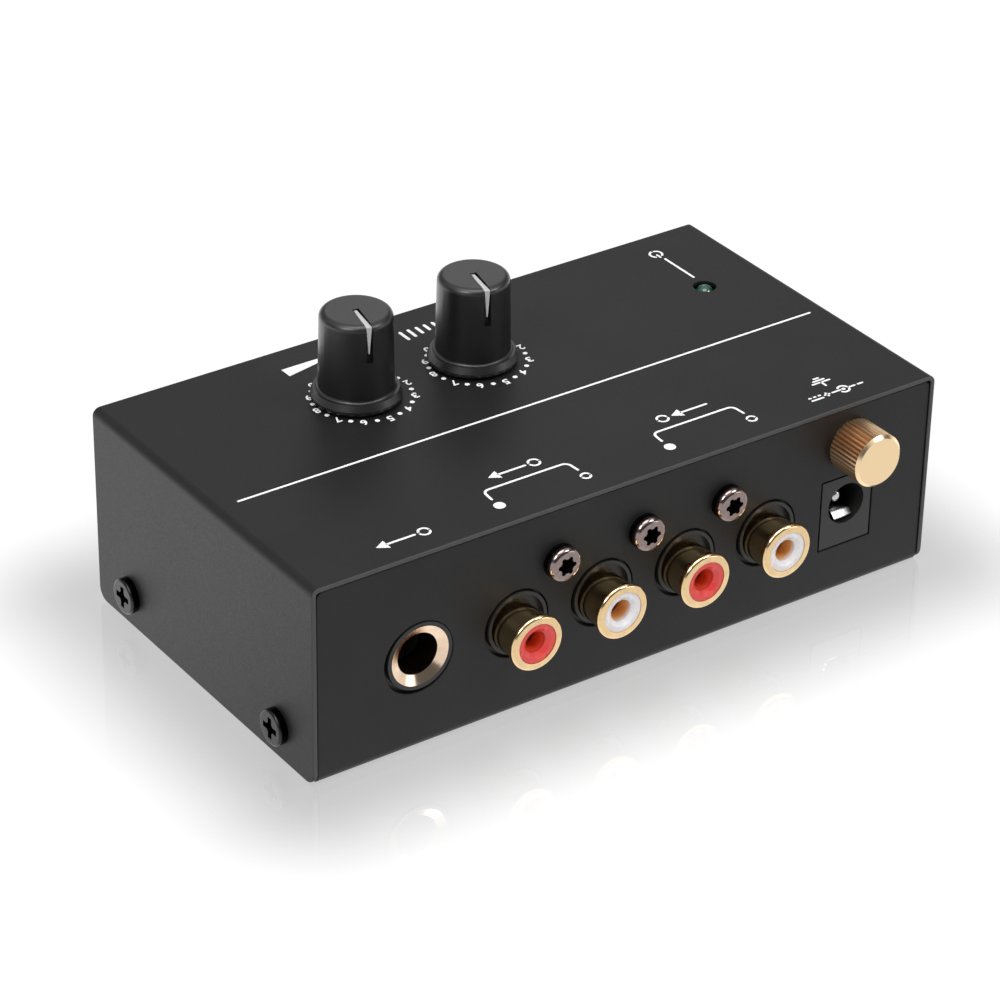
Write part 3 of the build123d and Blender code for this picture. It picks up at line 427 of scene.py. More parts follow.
@dataclass(frozen=True)
class KnurledBrass:
    """Gold-plated brass, redder down the knurled side, with painted shade between its ridges."""

    face: Colour
    knurl: Colour
    root: Colour
    roughness: Span = (0.22, 0.33)  # of the face and of the side
    side_passage: Span = (0.3, 0.55)  # depths where the face's finish ends and the side's starts
    root_radius: float = 3.7
    root_shade_passage: Span = (0.05, 0.28)  # distances from that radius over which the painted shade passes to the ridges' colour
    brushing: float = 0.25
    brushing_tone: float = 0.9
    brushing_depth: float = 0.0015

    def material(self, name: str, front: Vector) -> bpy.types.Material:
        """Build the metal.

        Args:
            name: The material's name.
            front: The point where the screw's axis leaves its outer face.

        Returns:
            The material.
        """
        graph = ShaderGraph(name)
        place = graph.place(front)
        depth = graph.math("MULTIPLY", graph.parts(place)["Y"], -1.0)
        side = graph.smooth(depth, *self.side_passage)
        radius = graph.radius(place, Axis.OUTWARD)
        from_root = graph.math("ABSOLUTE", graph.math("SUBTRACT", radius, self.root_radius))
        brushed = graph.noise(place, self.brushing, detail=3.0)
        ridge = graph.cloudy(brushed, self.knurl, self.brushing_tone)
        # painted shade: a darker colour in the valleys at the root radius, where shade falls
        # between the ridges
        knurl = graph.mix(graph.smooth(from_root, *self.root_shade_passage), self.root, ridge)
        return graph.principled({
            "Base Color": graph.mix(side, self.face, knurl),
            "Metallic": 1.0,
            "Roughness": graph.between(side, *self.roughness, start=0.0, end=1.0),
            "Normal": graph.bump(brushed, self.brushing_depth),
        })


@dataclass(frozen=True)
class SocketNickel:
    """Nickel of a socket's contacts, with a painted highlight and painted shade: the shade round a
    pin's axis, as of a hollow tip, or towards -X on a spring.
    """

    highlight_colour: Colour
    shade_colour: Colour
    highlight_passage: Span  # where the painted shade ends and the painted highlight starts
    roughness: float
    roughness_spread: Span = (-0.04, 0.06)
    wear: float = 0.3
    wear_depth: float = 0.002

    def material(self, name: str, middle: Vector, shade_round_axis: bool) -> bpy.types.Material:
        """Build the metal.

        Args:
            name: The material's name.
            middle: Middle of the piece.
            shade_round_axis: Whether the painted shade lies round its own axis, as if the pin were
                hollow, or towards -X.

        Returns:
            The material.
        """
        graph = ShaderGraph(name)
        place = graph.place(middle)
        across = graph.radius(place, Axis.OUTWARD) if shade_round_axis else graph.parts(place)["X"]
        wear = graph.noise(place, self.wear)
        return graph.principled({
            # painted shade passes to painted highlight across the piece: out from a pin's axis, or
            # from -X to +X on the spring
            "Base Color": graph.mix(graph.smooth(across, *self.highlight_passage), self.shade_colour, self.highlight_colour),
            "Metallic": 1.0,
            "Roughness": graph.worn(wear, self.roughness, self.roughness_spread),
            "Normal": graph.bump(wear, self.wear_depth),
        })


@dataclass(frozen=True)
class StampedMetal:
    """Tinned, zinc-plated or nickel-plated metal that was stamped or headed, not turned."""

    colour: Colour
    roughness: float
    roughness_spread: Span = (-0.05, 0.08)
    crystal: float = 0.5
    crystal_tone: float = 1.25
    crystal_depth: float = 0.002

    def material(self, name: str) -> bpy.types.Material:
        """Build the metal.

        Args:
            name: The material's name.

        Returns:
            The material.
        """
        graph = ShaderGraph(name)
        crystal = graph.noise(graph.place(), self.crystal, detail=3.0)
        return graph.principled({
            "Base Color": graph.cloudy(crystal, self.colour, self.crystal_tone),
            "Metallic": 1.0,
            "Roughness": graph.worn(crystal, self.roughness, self.roughness_spread),
            "Normal": graph.bump(crystal, self.crystal_depth),
        })


@dataclass(frozen=True)
class ScrewSteel:
    """Plated or blackened steel, with painted shade darkening a head's recess and its side."""

    face: Colour
    depths_painted_shade: Colour
    roughness: float
    roughness_spread: Span = (-0.04, 0.06)
    head_shade_passage: Span = (0.25, 0.6)  # depths where the face's colour ends and the painted shade starts
    crystal: float = 0.4
    crystal_tone: float = 1.3
    crystal_depth: float = 0.003

    def material(self, name: str, heads: Vector, axis: Axis) -> bpy.types.Material:
        """Build the metal.

        Args:
            name: The material's name.
            heads: A point as far out along the axis as the heads' faces.
            axis: The way that the screws lie; they may face either way along it.

        Returns:
            The material.
        """
        graph = ShaderGraph(name)
        place = graph.place()
        outwards = graph.math("ABSOLUTE", graph.parts(place)[axis.value])
        depth = graph.math("SUBTRACT", heads[axis.value], outwards)
        crystal = graph.noise(place, self.crystal, detail=3.0)
        face = graph.cloudy(crystal, self.face, self.crystal_tone)
        return graph.principled({
            # painted shade: deeper than the head's face the colour passes to a near-black one, in
            # the recess and down the side
            "Base Color": graph.mix(graph.smooth(depth, *self.head_shade_passage), face, self.depths_painted_shade),
            "Metallic": 1.0,
            "Roughness": graph.worn(crystal, self.roughness, self.roughness_spread),
            "Normal": graph.bump(crystal, self.crystal_depth),
        })


@dataclass(frozen=True)
class TintedEpoxy:
    """Clear tinted casting resin, as a lamp's dome is made of."""

    colour: Colour
    roughness: float = 0.04
    roughness_spread: Span = (0.0, 0.1)
    haze: float = 0.8
    haze_tone: float = 0.5
    haze_depth: float = 0.004
    transmission: float = 0.15
    refraction: float = 1.55
    coat: float = 0.8
    coat_roughness: float = 0.03

    def material(self, name: str) -> bpy.types.Material:
        """Build the resin.

        Args:
            name: The material's name.

        Returns:
            The material.
        """
        graph = ShaderGraph(name)
        haze = graph.noise(graph.place(), self.haze)
        return graph.principled({
            "Base Color": graph.cloudy(haze, self.colour, self.haze_tone),
            "Roughness": graph.worn(haze, self.roughness, self.roughness_spread),
            "Transmission Weight": self.transmission,
            "IOR": self.refraction,
            "Coat Weight": self.coat,
            "Coat Roughness": self.coat_roughness,
            "Normal": graph.bump(haze, self.haze_depth),
        })


@dataclass(frozen=True)
class PrintedInk:
    """Opaque screen-printing ink with the slight mesh texture that it keeps."""

    colour: Colour
    roughness: float = 0.5
    roughness_spread: Span = (-0.05, 0.1)
    specular: float = 0.3
    mesh: float = 0.09
    mesh_tone: float = 0.9
    mesh_depth: float = 0.002

    def material(self, name: str) -> bpy.types.Material:
        """Build the ink.

        Args:
            name: The material's name.

        Returns:
            The material.
        """
        graph = ShaderGraph(name)
        mesh = graph.noise(graph.place(), self.mesh, detail=1.0)
        return graph.principled({
            "Base Color": graph.cloudy(mesh, self.colour, self.mesh_tone),
            "Roughness": graph.worn(mesh, self.roughness, self.roughness_spread),
            "Specular IOR Level": self.specular,
            "Normal": graph.bump(mesh, self.mesh_depth),
        })


@dataclass(frozen=True)
class BoardLaminate:
    """Glass-epoxy board under solder mask, with its tracks showing as paler bands."""

    mask: Colour
    track: Colour
    lane: float = 1.27
    track_edge: Span = (0.3, 0.4)  # shares of a lane where a track ends and the gap starts
    track_depth: float = 0.03
    turn_every: float = 9.0
    weave: float = 0.3
    roughness: Span = (0.25, 0.4)

    def material(self, name: str) -> bpy.types.Material:
        """Build the board.

        Args:
            name: The material's name.

        Returns:
            The material.
        """
        graph = ShaderGraph(name)
        place = graph.place()
        turns = graph.noise(place, self.turn_every, detail=0.0)
        bend = graph.math("MULTIPLY", turns, self.turn_every)
        lanes = graph.math("PINGPONG", graph.math("ADD", graph.parts(place)["Y"], bend), self.lane)
        edge = (share * self.lane for share in self.track_edge)
        copper = graph.between(lanes, 1.0, 0.0, *edge)
        weave = graph.noise(place, self.weave, detail=1.0)
        return graph.principled({
            "Base Color": graph.mix(copper, self.mask, self.track),
            "Roughness": graph.between(weave, *self.roughness),
            "Normal": graph.bump(copper, self.track_depth),
        })


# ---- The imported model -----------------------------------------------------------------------
class PackedPart:
    """The CAD model around which everything here is made, measured in millimetres."""

    def __init__(self, frame: dict) -> None:
        """Keep the loaded frame's nodes."""
        self.nodes: dict[str, bpy.types.Object] = frame["nodes"]

    def low(self, node: str) -> Vector:
        """Give a node's lowest corner."""
        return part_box(node)[0] / MM

    def high(self, node: str) -> Vector:
        """Give a node's highest corner."""
        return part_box(node)[1] / MM

    def middle(self, node: str) -> Vector:
        """Give the middle of a node's box, which lies on the axis of a round piece."""
        return (self.low(node) + self.high(node)) / 2

    def outer_end(self, node: str) -> Vector:
        """Give the point where the axis of a rear panel's round piece leaves its outer face."""
        middle = self.middle(node)
        return Vector((middle.x, self.high(node).y, middle.z))

    def dress(self, node: str, material: bpy.types.Material) -> None:
        """Give a node its finish and report it.

        Args:
            node: The node's name.
            material: Its finish.
        """
        slots = self.nodes[node].data.materials
        slots.clear()
        slots.append(material)
        log.info("%s: %s", node, material.name)


# ---- Screen print ---------------------------------------------------------------------------
def arc_points(centre: Point, radius: float, start: float, end: float, chords: int) -> list[Point]:
    """Give points along an arc, both ends included.

    Args:
        centre: Centre of the arc.
        radius: Its radius.
        start: First angle in degrees, anticlockwise from +X.
        end: Last angle in degrees.
        chords: Number of chords.

    Returns:
        The points in order.
    """
    angles = [math.radians(start + (end - start) * step / chords) for step in range(chords + 1)]
    x, y = centre
    return [(x + radius * math.cos(angle), y + radius * math.sin(angle)) for angle in angles]


def rounded_path(corners: Sequence[Point], radius: float, chords: int = 6) -> list[Point]:
    """Round the inner corners of an open path.

    Args:
        corners: The path's corners and its two ends.
        radius: Radius of each rounding.
        chords: Number of chords in each rounding.

    Returns:
        The points of the rounded path.
    """
    path = [corners[0]]
    for before, corner, after in zip(corners, corners[1:], corners[2:]):
        here = Vector(corner)
        back = (Vector(before) - here).normalized()
        ahead = (Vector(after) - here).normalized()
        half = back.angle(ahead) / 2
        centre = here + (back + ahead).normalized() * radius / math.sin(half)
        reach = radius / math.tan(half)
        first = here + back * reach - centre
        last = here + ahead * reach - centre
        path.extend(tuple(centre + first.slerp(last, step / chords)) for step in range(chords + 1))
    return [*path, corners[-1]]


class InkLayer:
    """One printed mark: closed outlines on the cover, each with the ink's thickness."""

    sunk: float = 0.01  # depth of the ink's underside below the surface
    weld: float = 0.0001  # corners closer than this become one
    cap_chords: int = 5
    ring_chords: int = 16
    dot_sides: int = 24
    numeral_chords: int = 3
    sharpest: float = 0.3  # cosine of half the sharpest turn that a stroke keeps its width round

    def __init__(self, name: str, surface: float, thickness: float) -> None:
        """Start an empty layer.

        Args:
            name: The mark's name.
            surface: Height of the face that it is printed on.
            thickness: Thickness of the ink.
        """
        self.name = name
        self.bottom = surface - self.sunk
        self.top = surface + thickness
        self.mesh = bmesh.new()

    def outline(self, points: Sequence[Point]) -> None:
        """Add a filled outline.

        Args:
            points: Its corners, anticlockwise.
        """
        low = [self.mesh.verts.new((x * MM, y * MM, self.bottom * MM)) for x, y in points]
        high = [self.mesh.verts.new((x * MM, y * MM, self.top * MM)) for x, y in points]
        self.mesh.faces.new(high)
        self.mesh.faces.new(reversed(low))
        for index in range(len(points)):
            after = (index + 1) % len(points)
            self.mesh.faces.new((low[index], low[after], high[after], high[index]))

    def disc(self, centre: Point, radius: float) -> None:
        """Add a dot."""
        last = 360 - 360 / self.dot_sides
        self.outline(arc_points(centre, radius, 0, last, self.dot_sides - 1))

    def stroke(self, path: Sequence[Point], width: float) -> None:
        """Add a line of even width with round ends.

        Args:
            path: The points of the open path that it follows.
            width: Its width.
        """
        places = [Vector(point) for point in path]
        runs = [(after - before).normalized() for before, after in zip(places, places[1:])]
        left: list[Point] = []
        right: list[Point] = []
        for index, place in enumerate(places):
            before = runs[max(index - 1, 0)]
            after = runs[min(index, len(runs) - 1)]
            along = (before + after).normalized()
            half_width = width / 2 / max(self.sharpest, along.dot(before))
            side = Vector((-along.y, along.x)) * half_width
            left.append(tuple(place + side))
            right.append(tuple(place - side))
        start, heading = (math.degrees(math.atan2(run.y, run.x)) for run in (runs[0], runs[-1]))
        far_cap = arc_points(path[-1], width / 2, heading - 90, heading + 90, self.cap_chords)
        near_cap = arc_points(path[0], width / 2, start + 90, start + 270, self.cap_chords)
        self.outline([*right[1:-1], *far_cap, *reversed(left[1:-1]), *near_cap])

    def line(self, start: Point, end: Point, width: float) -> None:
        """Add a straight line of even width with round ends."""
        self.stroke([start, end], width)

    def ring(self, centre: Point, radius: float, width: float, ends: Span = (0, 360)) -> None:
        """Add a ring or a part of one, out of two strokes that share their ends.

        Args:
            centre: Centre of the ring.
            radius: Radius to the middle of its width.
            width: Its width.
            ends: First and last angle in degrees, anticlockwise from +X.
        """
        half = sum(ends) / 2
        for first, last in ((ends[0], half), (half, ends[1])):
            self.stroke(arc_points(centre, radius, first, last, self.ring_chords), width)

    def numeral(self, text: str, centre: Point, height: float, width: float, weight: float) -> None:
        """Add a number.

        Args:
            text: The digits.
            centre: Middle of the number.
            height: Height of the digits.
            width: Width of the whole number.
            weight: How much each stroke is thickened.
        """
        letters = bpy.data.curves.new("numeral", "FONT")
        letters.body = text
        letters.offset = weight
        letters.extrude = 0.5  # any thickness, which the scale below turns into the ink's
        letters.resolution_u = self.numeral_chords
        holder = bpy.data.objects.new("numeral", letters)
        solid = bpy.data.meshes.new_from_object(holder)
        corners = [vertex.co for vertex in solid.vertices]
        low = Vector(map(min, zip(*corners)))
        high = Vector(map(max, zip(*corners)))
        size = high - low
        wanted = Vector((width, height, self.top - self.bottom)) * MM
        scale = Matrix.Diagonal((wanted.x / size.x, wanted.y / size.y, wanted.z / size.z, 1))
        middle = Vector((*centre, (self.top + self.bottom) / 2)) * MM
        to_origin = Matrix.Translation(-(low + high) / 2)
        solid.transform(Matrix.Translation(middle) @ scale @ to_origin)
        self.mesh.from_mesh(solid)
        bpy.data.meshes.remove(solid)
        bpy.data.objects.remove(holder)
        bpy.data.curves.remove(letters)

    def piece(self, material: bpy.types.Material) -> None:
        """Turn the layer into a piece that rides on the case.

        Args:
            material: The ink.
        """
        bmesh.ops.remove_doubles(self.mesh, verts=self.mesh.verts, dist=self.weld * MM)
        made = bpy.data.meshes.new(self.name)
        self.mesh.to_mesh(made)
        self.mesh.free()
        made.materials.append(material)
        thing = bpy.data.objects.new(self.name, made)
        bpy.context.scene.collection.objects.link(thing)
        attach(thing, "case")
        log.info("%s: %d faces", self.name, len(made.polygons))


@dataclass
class ScreenPrint:
    """The white marks on the cover: two numbered dials, a divider, brackets and pictograms."""

    part: PackedPart
    material: bpy.types.Material
    thickness: float = 0.02
    width: float = 0.38  # of the divider, the brackets, the arrows and the lamp's line
    thin: float = 0.34  # width of the smaller signs' lines

    # The two dials.
    dot_circle: float = 7.25
    dot_radius: float = 0.36
    number_circle: float = 7.48
    dial_numbers: int = 10
    dial_step: float = 29.6  # degrees between numbers
    dial_turn: float = 0.9  # degrees clockwise from straight back
    dial_shifts: dict[str, Point] = field(
        default_factory=lambda: {"volume": (-0.83, 0.15), "level": (-0.50, 0.35)})
    digit_height: float = 1.4
    digit_width: float = 0.92
    digit_weight: float = 0.02
    slim_one: float = 0.6  # a 1 is this much of a digit wide
    next_digit: float = 0.8  # and each further digit adds this much

    # The line between the controls and the sockets.
    divider_row: float = 4.1
    divider_insets: Span = (3.4, 3.9)  # from the cover's -X and +X ends

    # The sockets' brackets and arrows, with rows counted from the cover's rear edge.
    bracket_bar: float = 8.7
    bracket_end: float = 6.2
    bracket_round: float = 1.1
    channel_mark: float = 4.35
    channel_radius: float = 0.85
    arrow_row: float = 11.15
    arrow_length: float = 8.6
    arrow_head: float = 1.0  # radius of the ring and half the width of the point
    arrow_gap: float = 1.5  # from the ring's middle to the arrow
    arrow_point: float = 1.7  # length of the point

    # The DC socket's signs: their row from the rear edge, the dashes from the socket's axis and
    # the lines and the plus of the polarity sign from its hub.
    power_row: float = 3.95
    dashes_start: float = 2.65
    dash: float = 0.25
    dash_pitch: float = 0.85
    dashes: int = 3
    dash_row: float = -0.35
    dash_line_row: float = 0.4
    polarity_side: float = -1.3
    polarity_radius: float = 0.85
    polarity_ends: Span = (40, 320)
    polarity_dot: float = 0.3
    polarity_lines: tuple[Span, ...] = ((-2.0, -1.1), (0.55, 2.0), (-3.4, -2.6), (2.55, 3.35))
    plus_side: float = 2.95
    plus_half: float = 0.4

    # The ground screw's sign, with its row from the rear edge.
    ground_row: float = 7.2
    ground_stem: float = 1.1
    ground_bars: tuple[float, ...] = (1.5, 0.95, 0.4)
    ground_pitch: float = 0.6

    # The lamp's line and standby sign, from the lamp's axis.
    lamp_line_side: float = -0.35
    lamp_line_ends: Span = (-3.2, -10.2)
    standby_side: float = -0.1
    standby_row: float = -12.2
    standby_radius: float = 0.95
    standby_ends: Span = (125, 415)
    standby_stem: Span = (0.25, 1.15)

    # The signs in front of the knobs, from the knobs' axes.
    knob_sign_row: float = -12.4
    wedge_half: float = 4.6
    wedge_heights: Span = (0.3, 2.2)
    bars: int = 7
    bar_pitch: float = 1.4
    bar_width: float = 0.5
    bar_height: float = 0.5
    bar_growth: float = 0.3

    def __post_init__(self) -> None:
        """Read the cover's height and rear edge from the frame."""
        self.surface = self.part.high("top_cover").z
        self.rear = self.part.high("top_cover").y

    def layer(self, name: str) -> InkLayer:
        """Start one mark."""
        return InkLayer(name, self.surface, self.thickness)

    def build(self) -> None:
        """Make every mark."""
        for control in ("volume", "level"):
            self.dial(control)
        self.divider()
        self.bracket("output", outwards=True)
        self.bracket("input", outwards=False)
        self.phone_jack_mark()
        self.direct_current_sign()
        self.ground_sign()
        self.lamp_line()
        self.standby_sign()
        self.volume_wedge()
        self.level_bars()

    def dial(self, control: str) -> None:
        """Number a knob's travel from 0 to 10, with a dot halfway between numbers.

        Args:
            control: The control's name.
        """
        middle = self.part.middle(f"{control}_shaft").xy + Vector(self.dial_shifts[control])
        layer = self.layer(f"{control}_dial")
        for half_step in range(2 * self.dial_numbers + 1):
            steps = (half_step - self.dial_numbers) / 2
            turn = math.radians(steps * self.dial_step + self.dial_turn)
            outwards = Vector((math.sin(turn), math.cos(turn)))
            if half_step % 2:
                layer.disc(tuple(middle + outwards * self.dot_circle), self.dot_radius)
                continue
            text = str(half_step // 2)
            digits = (self.slim_one if text == "1" else 1.0) + self.next_digit * (len(text) - 1)
            layer.numeral(text, tuple(middle + outwards * self.number_circle), self.digit_height,
                          self.digit_width * digits, self.digit_weight)
        layer.piece(self.material)

    def divider(self) -> None:
        """Draw the long line between the controls and the rear sockets."""
        start = self.part.low("top_cover").x + self.divider_insets[0]
        end = self.part.high("top_cover").x - self.divider_insets[1]
        layer = self.layer("divider_line")
        layer.line((start, self.divider_row), (end, self.divider_row), self.width)
        layer.piece(self.material)

    def bracket(self, kind: str, outwards: bool) -> None:
        """Join a pair of phono sockets with a bracket, a mark at each leg and an arrow.

        Args:
            kind: The pair's name.
            outwards: Whether the arrow leaves its ring, as at an output.
        """
        right = self.part.middle(f"{kind}_right_shell").x
        left = self.part.middle(f"{kind}_left_shell").x
        bar = self.rear - self.bracket_bar
        end = self.rear - self.bracket_end
        marks = self.rear - self.channel_mark
        corners = [(left, end), (left, bar), (right, bar), (right, end)]
        layer = self.layer(f"{kind}_bracket")
        layer.stroke(rounded_path(corners, self.bracket_round), self.width)
        layer.disc((right, marks), self.channel_radius)
        layer.ring((left, marks), self.channel_radius - self.thin / 2, self.thin)
        layer.piece(self.material)
        middle = ((left + right) / 2, self.rear - self.arrow_row)
        self.arrow(f"{kind}_arrow", middle, outwards)

    def arrow(self, name: str, middle: Point, outwards: bool) -> None:
        """Draw a ring with an arrow that leaves it towards +X or points into it from -X.

        Args:
            name: The mark's name.
            middle: Middle of the ring and the arrow together.
            outwards: Whether the arrow leaves the ring.
        """
        x, row = middle
        half = self.arrow_length / 2
        if outwards:
            ring = x - half + self.arrow_head
            tail, tip = ring + self.arrow_gap, x + half
        else:
            ring = x + half - self.arrow_head
            tail, tip = x - half, ring - self.arrow_gap
        neck = tip - self.arrow_point
        layer = self.layer(name)
        layer.ring((ring, row), self.arrow_head - self.thin / 2, self.thin)
        layer.line((tail, row), (neck, row), self.width)
        layer.outline([(neck, row - self.arrow_head), (tip, row), (neck, row + self.arrow_head)])
        layer.piece(self.material)

    def phone_jack_mark(self) -> None:
        """Draw a ring and a leaving arrow in front of the phone jack."""
        jack = self.part.middle("phone_jack_ferrule")
        self.arrow("phone_jack_arrow", (jack.x, self.rear - self.channel_mark), outwards=True)

    def direct_current_sign(self) -> None:
        """Draw dashes under a line, and beside them a plug's polarity with its centre positive."""
        x = self.part.middle("power_socket_body").x
        row = self.rear - self.power_row
        layer = self.layer("direct_current_sign")
        start = x + self.dashes_start
        under = row + self.dash_row
        for step in range(self.dashes):
            dash = start + step * self.dash_pitch
            layer.line((dash, under), (dash + self.dash, under), self.thin)
        over = row + self.dash_line_row
        end = start + (self.dashes - 1) * self.dash_pitch + self.dash
        layer.line((start, over), (end, over), self.thin)
        hub = x + self.polarity_side
        layer.ring((hub, row), self.polarity_radius, self.thin, self.polarity_ends)
        layer.disc((hub, row), self.polarity_dot)
        for first, last in self.polarity_lines:
            layer.line((hub + first, row), (hub + last, row), self.thin)
        plus = hub + self.plus_side
        layer.line((plus, row - self.plus_half), (plus, row + self.plus_half), self.thin)
        layer.piece(self.material)

    def ground_sign(self) -> None:
        """Draw a stem over three shrinking bars."""
        x = self.part.middle("ground_washer").x
        row = self.rear - self.ground_row
        layer = self.layer("ground_sign")
        layer.line((x, row + self.ground_stem), (x, row), self.thin)
        for step, half in enumerate(self.ground_bars):
            bar = row - self.ground_pitch * step
            layer.line((x - half, bar), (x + half, bar), self.thin)
        layer.piece(self.material)

    def lamp_line(self) -> None:
        """Draw the line from the lamp to its sign."""
        lamp = self.part.middle("power_lamp")
        x = lamp.x + self.lamp_line_side
        near, far = self.lamp_line_ends
        layer = self.layer("lamp_line")
        layer.line((x, lamp.y + near), (x, lamp.y + far), self.width)
        layer.piece(self.material)

    def standby_sign(self) -> None:
        """Draw an open ring with a stem in its gap."""
        lamp = self.part.middle("power_lamp")
        x, row = lamp.x + self.standby_side, lamp.y + self.standby_row
        low, high = self.standby_stem
        layer = self.layer("standby_sign")
        layer.ring((x, row), self.standby_radius, self.thin, self.standby_ends)
        layer.line((x, row + low), (x, row + high), self.thin)
        layer.piece(self.material)

    def volume_wedge(self) -> None:
        """Draw a rising wedge in front of the volume knob."""
        knob = self.part.middle("volume_knob")
        foot = knob.y + self.knob_sign_row
        low, high = self.wedge_heights
        left, right = knob.x - self.wedge_half, knob.x + self.wedge_half
        layer = self.layer("volume_sign")
        layer.outline([(left, foot), (right, foot), (right, foot + high), (left, foot + low)])
        layer.piece(self.material)

    def level_bars(self) -> None:
        """Draw a row of growing bars in front of the level knob."""
        knob = self.part.middle("level_knob")
        foot = knob.y + self.knob_sign_row
        layer = self.layer("level_sign")
        for step in range(self.bars):
            x = knob.x + (step - (self.bars - 1) / 2) * self.bar_pitch
            height = self.bar_height + self.bar_growth * step
            layer.line((x, foot), (x, foot + height), self.bar_width)
        layer.piece(self.material)


# ---- Sub-assemblies -------------------------------------------------------------------------
TIN = StampedMetal(colour=(0.66, 0.65, 0.60), roughness=0.3)  # of soldered leads


@dataclass
class Enclosure:
    """The bent-sheet cover and chassis and the four screws that join them."""

    part: PackedPart
    paint: PowderCoat = PowderCoat(colour=(0.008, 0.008, 0.0085), roughness=0.5)
    # The screws' dark colour below the head's face is painted shade.
    screw: ScrewSteel = ScrewSteel(
        face=(0.028, 0.028, 0.029), depths_painted_shade=(0.003, 0.003, 0.003), roughness=0.3)

    def dress(self) -> None:
        """Paint the sheets and blacken the screws."""
        paint = self.paint.material("black_powder_coat", self.part.high("top_cover").y)
        for node in ("top_cover", "chassis"):
            self.part.dress(node, paint)
        heads = self.part.high("cover_screws")
        steel = self.screw.material("black_oxide_steel", heads, Axis.SIDEWAYS)
        self.part.dress("cover_screws", steel)


@dataclass
class Controls:
    """Two knobs with their pointers, shafts and potentiometers."""

    part: PackedPart
    knob: MouldedPlastic = MouldedPlastic(
        colour=(0.005, 0.005, 0.0053), roughness=0.36, specular=0.7)
    pointer: PrintedInk = PrintedInk(colour=(0.50, 0.50, 0.50), roughness=0.45)
    shaft: TurnedMetal = TurnedMetal(colour=(0.70, 0.70, 0.71), roughness=0.3, axis=Axis.UPRIGHT)
    bushing: TurnedMetal = TurnedMetal(colour=(0.62, 0.60, 0.55), roughness=0.35, axis=Axis.UPRIGHT)
    housing: MouldedPlastic = MouldedPlastic(colour=(0.03, 0.03, 0.035), roughness=0.5)
    terminal: StampedMetal = TIN

    def dress(self) -> None:
        """Give both controls their finishes."""
        knob = self.knob.material("knob_moulding")
        pointer = self.pointer.material("pointer_paint")
        housing = self.housing.material("potentiometer_moulding")
        for control in ("volume", "level"):
            axis = self.part.middle(f"{control}_shaft")
            self.part.dress(f"{control}_knob", knob)
            self.part.dress(f"{control}_pointer", pointer)
            for piece, metal in (("shaft", self.shaft), ("bushing", self.bushing)):
                node = f"{control}_{piece}"
                self.part.dress(node, metal.material(f"{node}_metal", axis))
            self.part.dress(f"{control}_pot_body", housing)
        self.part.dress("pot_terminals", self.terminal.material("potentiometer_tin"))


@dataclass
class PowerLamp:
    """The green indicator lamp, its spacer and leads."""

    part: PackedPart
    resin: TintedEpoxy = TintedEpoxy(colour=(0.0, 0.085, 0.038))
    spacer: MouldedPlastic = MouldedPlastic(colour=(0.02, 0.02, 0.02), roughness=0.6)
    lead: StampedMetal = TIN

    def dress(self) -> None:
        """Give the lamp its finishes."""
        self.part.dress("power_lamp", self.resin.material("green_epoxy"))
        self.part.dress("lamp_spacer", self.spacer.material("spacer_moulding"))
        self.part.dress("lamp_leads", self.lead.material("lamp_lead_tin"))


class Channel(Enum):
    """The two stereo channels, each with the plastic of its socket's insulator."""

    # Each bore colour is painted light: the gold contact's painted reflection, brighter than the
    # face.
    RIGHT = SocketPlastic(face=(0.60, 0.05, 0.045), bore_painted_light=(0.95, 0.12, 0.04))
    LEFT = SocketPlastic(face=(0.66, 0.64, 0.65), bore_painted_light=(1.0, 0.52, 0.18))


@dataclass
class SocketRow:
    """Four gold-plated phono sockets in one housing, and the three screws between them."""

    part: PackedPart
    gold: TurnedMetal = TurnedMetal(colour=(0.92, 0.67, 0.37), roughness=0.12)
    contact: TurnedMetal = TurnedMetal(colour=(0.85, 0.52, 0.22), roughness=0.5)
    # The screws' dark colour below the head's face is painted shade.
    screw: ScrewSteel = ScrewSteel(
        face=(0.26, 0.205, 0.195), depths_painted_shade=(0.045, 0.035, 0.033), roughness=0.14,
        head_shade_passage=(0.5, 1.3))
    housing: MouldedPlastic = MouldedPlastic(colour=(0.012, 0.012, 0.012), roughness=0.4)

    def dress(self) -> None:
        """Give the row its finishes."""
        for kind in ("output", "input"):
            for channel in Channel:
                self.dress_socket(f"{kind}_{channel.name.lower()}", channel)
        self.part.dress("rca_housing", self.housing.material("socket_housing_moulding"))
        heads = self.part.high("star_screws")
        steel = self.screw.material("black_nickel", heads, Axis.OUTWARD)
        self.part.dress("star_screws", steel)

    def dress_socket(self, socket: str, channel: Channel) -> None:
        """Give one socket its finishes.

        Args:
            socket: The socket's name, which its three nodes' names start with.
            channel: The channel, whose plastic its insulator has.
        """
        axis = self.part.middle(f"{socket}_shell")
        self.part.dress(f"{socket}_shell", self.gold.material(f"{socket}_gold", axis))
        contact = self.contact.material(f"{socket}_contact_gold", axis)
        self.part.dress(f"{socket}_contact", contact)
        front = self.part.outer_end(f"{socket}_insulator")
        plastic = channel.value.material(f"{socket}_plastic", front)
        self.part.dress(f"{socket}_insulator", plastic)


@dataclass
class PhoneJack:
    """The 6.35 mm jack with its gold ferrule and contact springs."""

    part: PackedPart
    gold: TurnedMetal = TurnedMetal(colour=(0.92, 0.70, 0.52), roughness=0.12, ring_depth=0.010)
    body: MouldedPlastic = MouldedPlastic(colour=(0.012, 0.012, 0.012), roughness=0.4)
    spring: StampedMetal = StampedMetal(colour=(0.66, 0.62, 0.55), roughness=0.3)

    def dress(self) -> None:
        """Give the jack its finishes."""
        axis = self.part.middle("phone_jack_ferrule")
        self.part.dress("phone_jack_ferrule", self.gold.material("ferrule_gold", axis))
        self.part.dress("phone_jack_body", self.body.material("jack_moulding"))
        self.part.dress("phone_jack_springs", self.spring.material("jack_spring_tin"))


